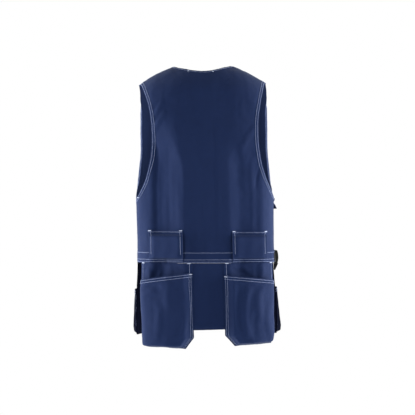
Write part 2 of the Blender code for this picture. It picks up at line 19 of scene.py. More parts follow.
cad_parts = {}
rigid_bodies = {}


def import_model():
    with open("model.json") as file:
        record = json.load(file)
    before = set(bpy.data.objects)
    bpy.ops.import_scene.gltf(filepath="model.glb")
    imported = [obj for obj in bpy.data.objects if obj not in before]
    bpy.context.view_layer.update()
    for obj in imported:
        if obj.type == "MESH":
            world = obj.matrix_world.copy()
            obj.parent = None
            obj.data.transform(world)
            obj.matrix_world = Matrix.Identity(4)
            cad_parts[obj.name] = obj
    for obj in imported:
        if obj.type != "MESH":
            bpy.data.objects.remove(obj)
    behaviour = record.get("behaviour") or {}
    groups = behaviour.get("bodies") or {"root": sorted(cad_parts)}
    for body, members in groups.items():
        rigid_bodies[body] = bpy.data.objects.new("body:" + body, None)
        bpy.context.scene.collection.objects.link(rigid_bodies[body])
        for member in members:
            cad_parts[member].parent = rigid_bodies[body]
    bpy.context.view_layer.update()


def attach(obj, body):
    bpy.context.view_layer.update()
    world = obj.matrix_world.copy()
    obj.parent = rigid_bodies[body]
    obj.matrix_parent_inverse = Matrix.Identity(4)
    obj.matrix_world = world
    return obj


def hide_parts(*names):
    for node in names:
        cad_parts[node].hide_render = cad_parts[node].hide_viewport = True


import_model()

bl_info = {
    "name": "Utility work vest",
    "version": (1, 0, 0),
    "blender": (4, 5, 0),
    "location": "View3D > Sidebar > Vest",
    "description": "Makes the cloth, stitching and fittings of a utility work vest",
    "category": "Add Mesh",
}

# Cloth and the gap that sewn pieces keep
TWILL = 0.0018
WAISTBAND_CLOTH = 0.0026
WAISTBAND_LIFT = 0.0006
WEBBING = 0.0015
SEAM = 0.0003
SIDE_SEAM_HALF = 0.00002
SIDE_SEAM_NEAR = 0.0003

# Heights above the shoulders
NECK_POINT = 0.0216
NECK_RISE = 0.0107
SHOULDER_DROP = 0.0516
UNDERARM = -0.372
ARMHOLE_TURN = 0.30
WAIST_TOP = -0.5284
WAIST_LOW = -0.5617
TAIL_HEM = -0.754

# Widths and depths
NECK_HALF = 0.0855
SHOULDER_HALF = 0.1905
NECK_BACK = 0.080
SHOULDER_ROLL = 0.100
SHOULDER_CURVE = 1.25
TAIL_HALF = 0.068
TAIL_LIFT = -0.0005

# The vest hangs a little askew: its waist is tilted, and its chest is turned to the wearer's right
WAIST_TILT = 0.0192
TILT_LOW = -0.720
TILT_LOW_FADE = 0.100
TILT_HIGH = -0.380
TILT_HIGH_FADE = 0.080
CHEST_SHIFT = 0.008
CHEST_SHIFT_LOW = -0.450
CHEST_SHIFT_FADE = 0.450
CHEST_SHIFT_DEPTH = 0.060

# Front opening
FRONT_EDGE = 0.0055
ZIP_HALF = 0.0050
ZIP_CLOTH = 0.0035
V_BOTTOM = -0.130
V_CURVE = 1.25
ZIP_GAP = 0.002
ZIP_LIFT = 0.0004

# Body form: half the width, and the depth behind and before the side seams, at each height
SQUARENESS = 2.5
Section = namedtuple("Section", "height half_width back front")
SECTIONS = (
    Section(-0.810, 0.2110, 0.1230, 0.1300),
    Section(-0.650, 0.2090, 0.1220, 0.1300),
    Section(-0.560, 0.2045, 0.1200, 0.1310),
    Section(-0.450, 0.2045, 0.1195, 0.1340),
    Section(-0.372, 0.2052, 0.1230, 0.1390),
    Section(-0.200, 0.1990, 0.1270, 0.1380),
    Section(-0.100, 0.1960, 0.1180, 0.1250),
    Section(0.030, 0.1930, 0.1060, 0.1060),
)

# Armhole edges: half the width of the back and of the front, by share of the way from underarm to shoulder
Armhole = namedtuple("Armhole", "share back front")
ARMHOLE = (
    Armhole(0.00, 0.2052, 0.2052),
    Armhole(0.08, 0.2000, 0.2050),
    Armhole(0.16, 0.1925, 0.2040),
    Armhole(0.32, 0.1700, 0.1990),
    Armhole(0.45, 0.1572, 0.1935),
    Armhole(0.58, 0.1562, 0.1928),
    Armhole(0.70, 0.1640, 0.1915),
    Armhole(0.85, 0.1785, 0.1900),
    Armhole(1.00, 0.1905, 0.1905),
)

# Across the back the cloth is stretched flatter than the form, in facets: how deep it is, as a share of the
# depth at the centre, by share of half the width. The facets fade out towards the shoulders.
Facet = namedtuple("Facet", "share left right high")
BACK_FACETS = (
    Facet(0.000, 1.000, 1.000, 1.000),
    Facet(0.150, 0.999, 0.999, 0.999),
    Facet(0.283, 0.994, 0.989, 0.995),
    Facet(0.325, 0.988, 0.978, 0.992),
    Facet(0.352, 0.972, 0.961, 0.989),
    Facet(0.449, 0.892, 0.887, 0.977),
    Facet(0.482, 0.866, 0.872, 0.971),
    Facet(0.560, 0.806, 0.857, 0.955),
    Facet(0.645, 0.748, 0.838, 0.930),
    Facet(0.684, 0.736, 0.823, 0.915),
    Facet(0.752, 0.720, 0.804, 0.882),
    Facet(0.787, 0.706, 0.790, 0.860),
    Facet(0.821, 0.680, 0.764, 0.825),
    Facet(0.879, 0.616, 0.685, 0.745),
    Facet(0.928, 0.535, 0.585, 0.635),
    Facet(0.967, 0.430, 0.452, 0.478),
    Facet(0.990, 0.305, 0.312, 0.320),
)
LEFT_FACETS_TOP = -0.095
RIGHT_FACETS_TOP = -0.205
FACET_FADE = 0.090
FACET_DRIFT = 0.20
FACET_DRIFT_LOW = -0.300
FACET_DRIFT_FADE = 0.170
FACET_DRIFT_START = 0.3
FACET_SPREAD = 0.075
FACET_SPREAD_PARTS = (-1.0, -0.33, 0.33, 1.0)

# Soft folds down the cloth: a ridge where the height is positive, a valley where it is negative
Fold = namedtuple("Fold", "across half_width top bottom height")
BACK_FOLDS = (
    Fold(0.146, 0.012, -0.200, -0.540, -0.0020),
    Fold(-0.137, 0.012, -0.230, -0.540, 0.0010),
    Fold(0.030, 0.020, -0.180, -0.560, 0.0006),
    Fold(-0.024, 0.012, -0.100, -0.520, -0.0009),
    Fold(0.108, 0.010, -0.180, -0.540, -0.0007),
    Fold(0.082, 0.008, -0.260, -0.540, 0.0006),
)
FRONT_FOLDS = (
    Fold(0.120, 0.024, -0.160, -0.540, 0.0026),
    Fold(0.070, 0.024, -0.220, -0.540, -0.0020),
)
FOLD_FADE = 0.12

# Creases: a crisp ridge, or a valley where the height is negative, on a curve through three places
# (across, height) on the back
Crease = namedtuple("Crease", "start middle end height half_width")
CREASES = (
    # fanning out from the armholes
    Crease((0.158, -0.150), (0.138, -0.118), (0.120, -0.086), 0.0022, 0.012),
    Crease((0.152, -0.182), (0.136, -0.150), (0.112, -0.116), 0.0020, 0.014),
    Crease((0.148, -0.205), (0.140, -0.250), (0.146, -0.330), -0.0020, 0.010),
    Crease((-0.150, -0.170), (-0.128, -0.190), (-0.098, -0.245), 0.0016, 0.016),
    Crease((-0.168, -0.270), (-0.152, -0.305), (-0.146, -0.350), -0.0016, 0.008),
    Crease((-0.160, -0.240), (-0.140, -0.270), (-0.130, -0.330), 0.0012, 0.016),
    # over the left belt loop and in the backing of the left pocket
    Crease((0.110, -0.470), (0.106, -0.500), (0.112, -0.556), 0.0016, 0.016),
    Crease((0.122, -0.520), (0.118, -0.545), (0.120, -0.570), -0.0022, 0.008),
    Crease((0.166, -0.606), (0.152, -0.594), (0.140, -0.562), -0.0030, 0.014),
    Crease((0.176, -0.580), (0.168, -0.590), (0.164, -0.612), 0.0024, 0.014),
    Crease((0.134, -0.562), (0.128, -0.584), (0.132, -0.606), -0.0022, 0.013),
    Crease((0.116, -0.562), (0.108, -0.578), (0.110, -0.606), 0.0022, 0.014),
    Crease((0.092, -0.566), (0.080, -0.576), (0.066, -0.580), -0.0018, 0.010),
    # in the backing of the right pocket
    Crease((-0.066, -0.575), (-0.090, -0.586), (-0.130, -0.590), -0.0022, 0.010),
    Crease((-0.150, -0.566), (-0.158, -0.585), (-0.150, -0.606), 0.0026, 0.014),
    Crease((-0.100, -0.566), (-0.112, -0.584), (-0.136, -0.600), 0.0018, 0.012),
    # on the left pocket
    Crease((0.074, -0.622), (0.060, -0.690), (0.080, -0.776), 0.0030, 0.011),
    Crease((0.172, -0.640), (0.150, -0.628), (0.126, -0.634), -0.0020, 0.010),
    Crease((0.176, -0.662), (0.152, -0.646), (0.130, -0.655), 0.0016, 0.012),
    Crease((0.138, -0.660), (0.134, -0.720), (0.138, -0.790), 0.0022, 0.014),
    Crease((0.100, -0.620), (0.112, -0.650), (0.108, -0.700), 0.0014, 0.014),
    # on the right pocket
    Crease((-0.112, -0.628), (-0.098, -0.700), (-0.104, -0.780), 0.0036, 0.014),
    Crease((-0.148, -0.628), (-0.134, -0.670), (-0.140, -0.740), 0.0026, 0.015),
    Crease((-0.086, -0.625), (-0.076, -0.690), (-0.082, -0.760), -0.0020, 0.012),
    Crease((-0.176, -0.660), (-0.156, -0.720), (-0.168, -0.790), 0.0022, 0.014),
    Crease((-0.128, -0.700), (-0.120, -0.740), (-0.126, -0.790), -0.0018, 0.012),
)
CREASE_STEPS = 9

# Soft wrinkles all over: how high and wide they are, and how much longer than wide
Wrinkle = namedtuple("Wrinkle", "height width stretch seed")
WRINKLES = (
    Wrinkle(0.0020, 0.060, 3.0, 3.1),
    Wrinkle(0.0011, 0.028, 3.0, 11.7),
    Wrinkle(0.0005, 0.016, 1.3, 17.9),
    Wrinkle(0.0002, 0.009, 1.0, 23.3),
)

# Hems, the puckers beside a sewn edge, and how pale the cloth is rubbed there
PUCKER_REACH = 0.014
PUCKER_WIDTH = 0.009
PUCKER_SEED = 41.0
HEM_WIDTH = 0.011
HEM_STEP = 0.0025
HEM_RISE = 0.0007
HEM_PUCKER = 0.0006
HEM_WEAR = 0.25
HEM_WEAR_REACH = 0.0025
RIDGE_WEAR = 0.3
WAISTBAND_WEAR = (0.5, 0.003)

# Holster pockets. Edges are angles in degrees round from the centre back, at the waist and at the foot.
# The pouch is open at its mouth and cut off at its lower corners. Its walls rise over a share of its width,
# and the face of a back pouch stands out further in a box.
Holster = namedtuple(
    "Holster",
    "name turn inner_top inner_low outer_top outer_low mouth_inner mouth_outer"
    " foot_inner foot_outer cut_inner cut_outer cut_height depth_mouth depth_foot outer_wall box",
)
HOLSTERS = (
    Holster(
        "back_holster", 1, 9.0, 8.2, 66.5, 60.5, -0.590, -0.616,
        -0.8070, -0.8000, 6.0, 1.5, 0.031, 0.0165, 0.022, 0.20, 0.012,
    ),
    Holster(
        "back_holster", -1, 9.0, 8.6, 66.5, 59.5, -0.597, -0.616,
        -0.8025, -0.7990, 7.0, 4.5, 0.031, 0.0165, 0.022, 0.20, 0.010,
    ),
    Holster(
        "front_holster", 1, 161.0, 162.0, 98.0, 97.0, -0.640, -0.650,
        -0.7800, -0.7790, -6.0, 5.0, 0.022, 0.014, 0.025, 0.27, 0.0,
    ),
    Holster(
        "front_holster", -1, 161.0, 162.0, 98.0, 97.0, -0.636, -0.645,
        -0.7860, -0.7850, -6.0, 4.0, 0.020, 0.018, 0.031, 0.24, 0.0,
    ),
)
BASE_LIFT = SEAM + TWILL
POUCH_SEAT = BASE_LIFT + SEAM + TWILL
FLANGE = 0.03
WALL_SHARE = 0.12
WALL_STEEPNESS = 0.7
POUCH_BILLOW = 0.0030
POUCH_ROUGH = (0.045, 1.8, 57.0)
POUCH_BOX_RISE = (0.45, 0.28)
POUCH_BOX_MOUTH = 0.6
POUCH_FREE = 0.85
POUCH_FOOT_SHARE = 0.05
POUCH_WEAR = 0.25
POUCH_HEM = (0.0005, 0.0004)

# Wide belt loops: a flat face, sewn down along its top and its foot
BeltLoop = namedtuple("BeltLoop", "name turn centre top twist")
BELT_LOOPS = (
    BeltLoop("belt_loop_left", 1, 0.1182, -0.4675, -0.06),
    BeltLoop("belt_loop_right", -1, 0.1215, -0.4700, 0.10),
)
LOOP_FACES_ACROSS = 0.1215
LOOP_FACES_AT = -0.4665
LOOP_HALF = 0.0520
LOOP_FLAT_HALF = 0.0360
LOOP_STAND = 0.0115
LOOP_END_BEND = 0.0035
LOOP_SEAT = SEAM + TWILL + 0.0006
LOOP_SEWN = 0.007
LOOP_RISE = 0.010
LOOP_ABOVE_SEAM = 0.001
LOOP_RUMPLE = 0.0016
LOOP_ROUGH = (0.03, 1.4, 71.0)
LOOP_WEAR = (0.8, 0.004)
LOOP_STITCH_SHORT = 8
LOOP_TACK = 0.009

# Chest pocket and flap on the wearer's right
CHEST_OUTER = 97.0
CHEST_INNER = 140.0
CHEST_TOP = -0.380
CHEST_FOOT = -0.512
CHEST_DEPTH = 0.006
CHEST_SEAT = 0.0006
CHEST_FLANGE = 0.04
CHEST_WALL = 0.16
CHEST_MOUTH_SHARE = 0.6
CHEST_HEM = (0.0004, 0.0003)
FLAP_EXTRA = 0.03
FLARE_WIDTH = 0.25
Flap = namedtuple("Flap", "height lift flare")
FLAP_ROWS = (
    Flap(-0.4060, 0.0092, 0.0045),
    Flap(-0.3970, 0.0090, 0.0005),
    Flap(-0.3890, 0.0088, -0.0045),
    Flap(-0.3800, 0.0084, -0.0010),
    Flap(-0.3745, 0.0050, 0.0010),
    Flap(-0.3700, 0.0024, 0.0000),
)

# Side strap on the wearer's right, and its free end
STRAP_BACK = 75.0
STRAP_FRONT = 108.0
STRAP_HALF = 0.013
STRAP_MIDDLE = -0.5480
STRAP_LIFT = 0.0026
BUCKLE_HALF_HEIGHT = 0.0195
BUCKLE_THICK = 0.0072
BUCKLE_Y = -0.012
BUCKLE_HALF_LENGTH = 0.0200
BUCKLE_BARS = (-0.75, -0.15, 0.15, 0.75)
BUCKLE_LEVELS = (-0.76, -0.45, -0.15, 0.15, 0.45, 0.76)
BUCKLE_WINDOW = 0.45
BUCKLE_WINDOW_HALF = 0.25
BUCKLE_OPEN = 0.74
BUCKLE_BOW = ((0.014, 0.0014), (0.009, 0.0012), (0.003, 0.0006))
BUCKLE_RIB = 0.0006
BUCKLE_RIBS_HALF = 0.1
BUCKLE_ROUNDING = 0.0007
STRAP_END_LOW = -0.588
STRAP_END_HALF = 0.010
STRAP_END_BACK = 0.0004
STRAP_END_LEAN = 0.0040
STRAP_END_TWIST = 0.60

# Hanger loop inside the neck
HANGER_HALF = 0.033
HANGER_SAG = 0.014
HANGER_TAPE = 0.008
HANGER_BELOW_EDGE = 0.006
HANGER_SEAT = 0.0016
HANGER_SLACK = 0.0035

# Stitching, measured in from the edge that each line follows
NECK_STITCH = 0.006
SHOULDER_STITCH = 0.0075
ARMHOLE_STITCHES = (0.003, 0.010)
FRONT_EDGE_STITCHES = (0.004, 0.011)
WAIST_TOP_STITCH = 0.0035
WAIST_LOW_STITCHES = (0.003, 0.010)
TAIL_HEM_WIDTH = 0.016
POCKET_STITCHES = (0.0035, 0.0105)
BASE_STITCH = 0.007
LOOP_TOP_STITCH = 0.0035
LOOP_SIDE_STITCH = 0.007
TACK_LENGTH = 0.010
HANGER_TACK = 0.0055
HANGER_TACK_START = 0.004
HANGER_TACKS_AT = (0.0410, -0.0240)
UNDERARM_TACK = ((0.1950, 0.050, -0.3680), (0.1910, 0.056, -0.3675))
TACK_SLANT = 0.25
LEAST_TACK = 3
STITCH_SINK = 0.25
GRAIN_BLUNTNESS = 0.7
RIM_ROUNDING = 0.35
WAIST_PUCKER = 0.0004

# The fronts' armhole edges curl back round the side
CURL_WIDTH = 0.013
CURL_IN = 0.0065
CURL_OUT = 0.0030
CURL_BACK = 0.0030
CURL_LOW = -0.350
CURL_HIGH = -0.070
CURL_FADE = 0.040

# Finishes: the sizes of their patterns, the height of their relief, and how they shine and wear
TWILL_RIB = 0.0010
TWILL_YARN = 0.0006
YARN_UNEVEN = 0.004
YARN_SLANT = 0.2
YARN_STRAY = 0.0003
RIB_STRAY = 0.0004
TWILL_MOTTLE = 0.030
TWILL_SLUB = 0.0016
TWILL_SHADES = (0.78, 1.22)
TWILL_RELIEF = 0.0003
CLOTH_SPECULAR = 0.10
CLOTH_SHEEN = 0.03
SHEEN_TINT = (0.75, 0.85, 1.0, 1.0)
WEAR_SHARE = 0.45
# The twill copy darkened as painted shade for the front holsters: how pale its rubbed edges are, and how
# much of the twill's shine it keeps
SHADED_TWILL_WEAR = 4.0
SHADED_TWILL_GLOSS = 0.1
THREAD_FIBRE = 0.0003
THREAD_PATCH = 0.02
THREAD_RELIEF = 0.0002
WEBBING_RIB = 0.0021
WEBBING_WEAVE = 0.0012
WEBBING_FIBRE = 0.0006
PLASTIC_SKIN = 0.0005
PLASTIC_SCUFF = 0.004
PLASTIC_RELIEF = 0.0002
METAL_BRUSHING = 0.0015
METAL_RELIEF = 0.0001
FLOOR_COLOUR = (0.86, 0.87, 0.88)
FLOOR_SPECKLE = 0.15

# Stage: turns are in degrees round from the camera's bearing
CAMERA_AZIMUTH = 177.3
CAMERA_ROLL = -1.1
CAMERA_DISTANCE = 3.5
CAMERA_TARGET = (-0.0078, 0.0, -0.400)
CAMERA_VIEW_WIDTH = 1.245
CAMERA_SENSOR = 36.0
WORLD_STRENGTH = 1.0
Light = namedtuple("Light", "name turn power")
LIGHTS = (
    Light("softbox at the wearer's right", 88.0, 124.0),
    Light("softbox at the wearer's left", -88.0, 135.0),
)
LIGHT_DISTANCE = 2.2
LIGHT_WIDTH = 1.2
LIGHT_HEIGHT = 1.8
LIGHT_CENTRE = (0.0, 0.0, -0.50)
FLOOR_HEIGHT = -1.42
FLOOR_RADIUS = 2.0

# Mesh density
SHARP_ANGLE = 50
WAISTBAND_ROWS = 12
BASE_ROWS = 50
BASE_COLUMNS = 60
POUCH_ROWS = 64
POUCH_COLUMNS = 84
LOOP_STEP = 0.0030
CHEST_ROWS = 40
CHEST_COLUMNS = 56
FLAP_GRID_ROWS = 14
STRAP_COLUMNS = 30
STRAP_ROWS = 9
STRAP_END_ROWS = 10
STRAP_END_COLUMNS = 7
HANGER_COLUMNS = 28
HANGER_ROWS = 4
ZIP_ROWS = 120
ZIP_COLUMNS = 5
ZIP_TOOTH_PITCH = 0.0016
ZIP_TOOTH_REACH = 0.0040
ZIP_TOOTH_RISE = 0.0012
ZIP_TOOTH_HEIGHT = 0.0011
ZIP_TOOTH_BEVEL = 0.25
ZIP_TOOTH_ASIDE = 0.3
NECK_COLUMNS = 28
SHOULDER_COLUMNS = 36
SIDE_COLUMNS = 14
LOW_ROWS = 60
HIGH_ROWS = 90
MESH_STEP = 0.0036
EDGE_STEPS = 5
TINY = 1e-4


def blend(low, high, share):
    return low + (high - low) * share


def ease(share):
    share = np.clip(share, 0.0, 1.0)
    return share * share * (3 - 2 * share)


def stack(x, y, z):
    return np.stack(np.broadcast_arrays(x, y, z), axis=-1).astype(float)


def unit(vectors):
    length = np.linalg.norm(vectors, axis=-1, keepdims=True)
    return vectors / np.maximum(length, 1e-12)


def curve(table, column, value):
    """A column of a table at values of its first column, on a smooth curve through the rows."""
    keys = np.array([row[0] for row in table])
    entries = np.array([getattr(row, column) for row in table])
    rows = np.arange(len(keys))
    before, after = np.maximum(rows - 1, 0), np.minimum(rows + 1, len(keys) - 1)
    slopes = (entries[after] - entries[before]) / (keys[after] - keys[before])
    value = np.clip(value, keys[0], keys[-1])
    low = np.clip(np.searchsorted(keys, value, side="right") - 1, 0, len(keys) - 2)
    span = keys[low + 1] - keys[low]
    share = (value - keys[low]) / span
    square, cube = share**2, share**3
    return (
        entries[low] * (2 * cube - 3 * square + 1)
        + slopes[low] * span * (cube - 2 * square + share)
        + entries[low + 1] * (3 * square - 2 * cube)
        + slopes[low + 1] * span * (cube - square)
    )


def body(angle, height):
    """Points of the body form, at angles in degrees round from the centre back to the wearer's left."""
    across, along = np.sin(np.radians(angle)), np.cos(np.radians(angle))
    power = 2 / SQUARENESS
    depth = np.where(along > 0, curve(SECTIONS, "back", height), curve(SECTIONS, "front", height))
    x = curve(SECTIONS, "half_width", height) * np.sign(across) * np.abs(across) ** power
    y = depth * np.sign(along) * np.abs(along) ** power
    return stack(x, y, height)


def outward(angle, height):
    turn = body(angle + 0.2, height) - body(angle - 0.2, height)
    climb = body(angle, height + 0.001) - body(angle, height - 0.001)
    return unit(np.cross(climb, turn))


def lifted(angle, height, lift):
    """Points that stand off the body form, measured square to it."""
    return body(angle, height) + outward(angle, height) * np.asarray(lift)[..., None]


def turn_at(x, height):
    """The turn round the body, in radians from its centre line, at which the form is this far across."""
    share = np.minimum(1.0, np.abs(x) / curve(SECTIONS, "half_width", height))
    return np.copysign(np.arcsin(share ** (SQUARENESS / 2)), x)


def across_at(turn, height):
    return curve(SECTIONS, "half_width", height) * np.sin(turn) ** (2 / SQUARENESS)


def crest(x):
    """The height of the shoulder's top."""
    across = np.abs(x)
    neck = NECK_POINT + NECK_RISE * (1 - (across / NECK_HALF) ** 2)
    share = np.maximum(0.0, across - NECK_HALF) / (SHOULDER_HALF - NECK_HALF)
    return np.where(across < NECK_HALF, neck, NECK_POINT - SHOULDER_DROP * share**SHOULDER_CURVE)


def reach(x, height, side):
    """How far the body form goes back (side 1) or forward (side -1) at these places."""
    depth = curve(SECTIONS, "back" if side > 0 else "front", height)
    share = np.minimum(1.0, np.abs(x) / curve(SECTIONS, "half_width", height))
    return depth * (1 - share**SQUARENESS) ** (1 / SQUARENESS)


def torso(x, side, climb):
    """Points of the upper body, where climb is the way up the cloth from the waist."""
    roll_start = crest(x) - SHOULDER_ROLL
    lean = np.maximum(0.0, climb - (roll_start - WAIST_TOP)) / SHOULDER_ROLL
    height = np.where(lean > 0, roll_start + SHOULDER_ROLL * np.sin(lean), WAIST_TOP + climb)
    return stack(x, side * reach(x, height, side) * np.cos(lean), height)


def climb_to(x, height):
    """The way up the cloth to a height."""
    roll_start = crest(x) - SHOULDER_ROLL
    rise = np.clip((height - roll_start) / SHOULDER_ROLL, 0.0, 1.0)
    return np.minimum(height, roll_start) - WAIST_TOP + SHOULDER_ROLL * np.arcsin(rise)


def top_climb(x, side):
    """The way up the cloth to the neckline or the shoulder seam."""
    across = np.abs(x)
    shoulder = climb_to(x, crest(x))
    inside = np.minimum(across, NECK_HALF)
    if side < 0:
        share = np.clip((inside - FRONT_EDGE) / (NECK_HALF - FRONT_EDGE), 0.0, 1.0)
        neck_point = climb_to(NECK_HALF, crest(NECK_HALF))
        neckline = blend(climb_to(FRONT_EDGE, V_BOTTOM), neck_point, share**V_CURVE)
    else:
        back = NECK_BACK * np.sqrt(1 - (inside / NECK_HALF) ** 2)
        lean = np.arccos(np.clip(back / reach(inside, 0.0, side), 0.0, 1.0))
        neckline = crest(inside) - SHOULDER_ROLL - WAIST_TOP + SHOULDER_ROLL * lean
    return np.where(across >= NECK_HALF - TINY, shoulder, neckline)


def armhole_point(share, side):
    """(across, height) of the armhole's edge at shares of the way from underarm to shoulder."""
    height = blend(UNDERARM, crest(SHOULDER_HALF), (1 - np.cos(np.pi * share)) / 2)
    return curve(ARMHOLE, "back" if side > 0 else "front", share), height


def column_shares(start):
    """Shares of the way from the centre to the armhole, one of them at the neck point."""
    top = crest(SHOULDER_HALF)
    first, neck_turn, last = [turn_at(x, top) for x in (start, NECK_HALF, SHOULDER_HALF)]
    neck = (neck_turn - first) / (last - first)
    inner = np.linspace(0.0, neck, NECK_COLUMNS, endpoint=False)
    return np.concatenate([inner, np.linspace(neck, 1.0, SHOULDER_COLUMNS + 1)])


def low_columns(side, start):
    """Turn and top height of a panel's columns below the level where the armhole turns in."""
    edge_across, edge_height = armhole_point(ARMHOLE_TURN, side)
    first, edge_turn = turn_at(start, edge_height), turn_at(edge_across, edge_height)
    turns = blend(first, edge_turn, column_shares(start))
    across, heights = armhole_point(np.linspace(ARMHOLE_TURN, 0.0, SIDE_COLUMNS + 1)[1:], side)
    return (
        np.concatenate([turns, turn_at(across, heights)]),
        np.concatenate([np.full(len(turns), edge_height), heights]),
    )


def low_rows(side, start):
    """Rows from the waist to the level where the armhole turns in, and out to the side seam below it."""
    turns, tops = low_columns(side, start)
    rows = np.linspace(0.0, 1.0, LOW_ROWS + 1)[:, None]
    heights = blend(WAIST_TOP + SEAM, tops[None, :], rows)
    return torso(across_at(turns[None, :], heights), side, heights - WAIST_TOP)


def high_rows(side, start):
    """Rows from the level where the armhole turns in to the shoulder seam and the neckline."""
    shares = column_shares(start)[None, :]
    top_height = crest(SHOULDER_HALF)
    first, last = turn_at(start, top_height), turn_at(SHOULDER_HALF, top_height)
    tops = top_climb(across_at(blend(first, last, shares), top_height), side)
    bottom = armhole_point(ARMHOLE_TURN, side)[1] - WAIST_TOP
    edge_top = climb_to(SHOULDER_HALF, top_height)
    steps = np.linspace(ARMHOLE_TURN, 1.0, HIGH_ROWS + 1)[1:, None]
    across, heights = armhole_point(steps, side)
    way = (climb_to(across, heights) - bottom) / (edge_top - bottom)
    turns = blend(turn_at(start, heights), turn_at(across, heights), shares)
    rows = torso(across_at(turns, heights), side, blend(bottom, tops, way))
    missing = np.full((HIGH_ROWS, SIDE_COLUMNS, 3), np.nan)
    return np.concatenate([rows, missing], axis=1)


def panel_grid(side, start):
    """Rows of points from the waist up, and columns from the centre to the wearer's left."""
    grid = np.concatenate([low_rows(side, start), high_rows(side, start)])
    grid[..., 1] += side * SIDE_SEAM_HALF
    return grid


def mirrored(grid):
    return grid * (-1, 1, 1)


def hang(points):
    """Where points of the straight form come to when the vest hangs askew."""
    x, y, z = points[..., 0], points[..., 1], points[..., 2]
    tilt = WAIST_TILT * ease((z - TILT_LOW) / TILT_LOW_FADE) * ease((TILT_HIGH - z) / TILT_HIGH_FADE)
    shift = CHEST_SHIFT * ease((z - CHEST_SHIFT_LOW) / CHEST_SHIFT_FADE) * ease(-y / CHEST_SHIFT_DEPTH)
    return stack(x - shift, y, z + tilt * x)


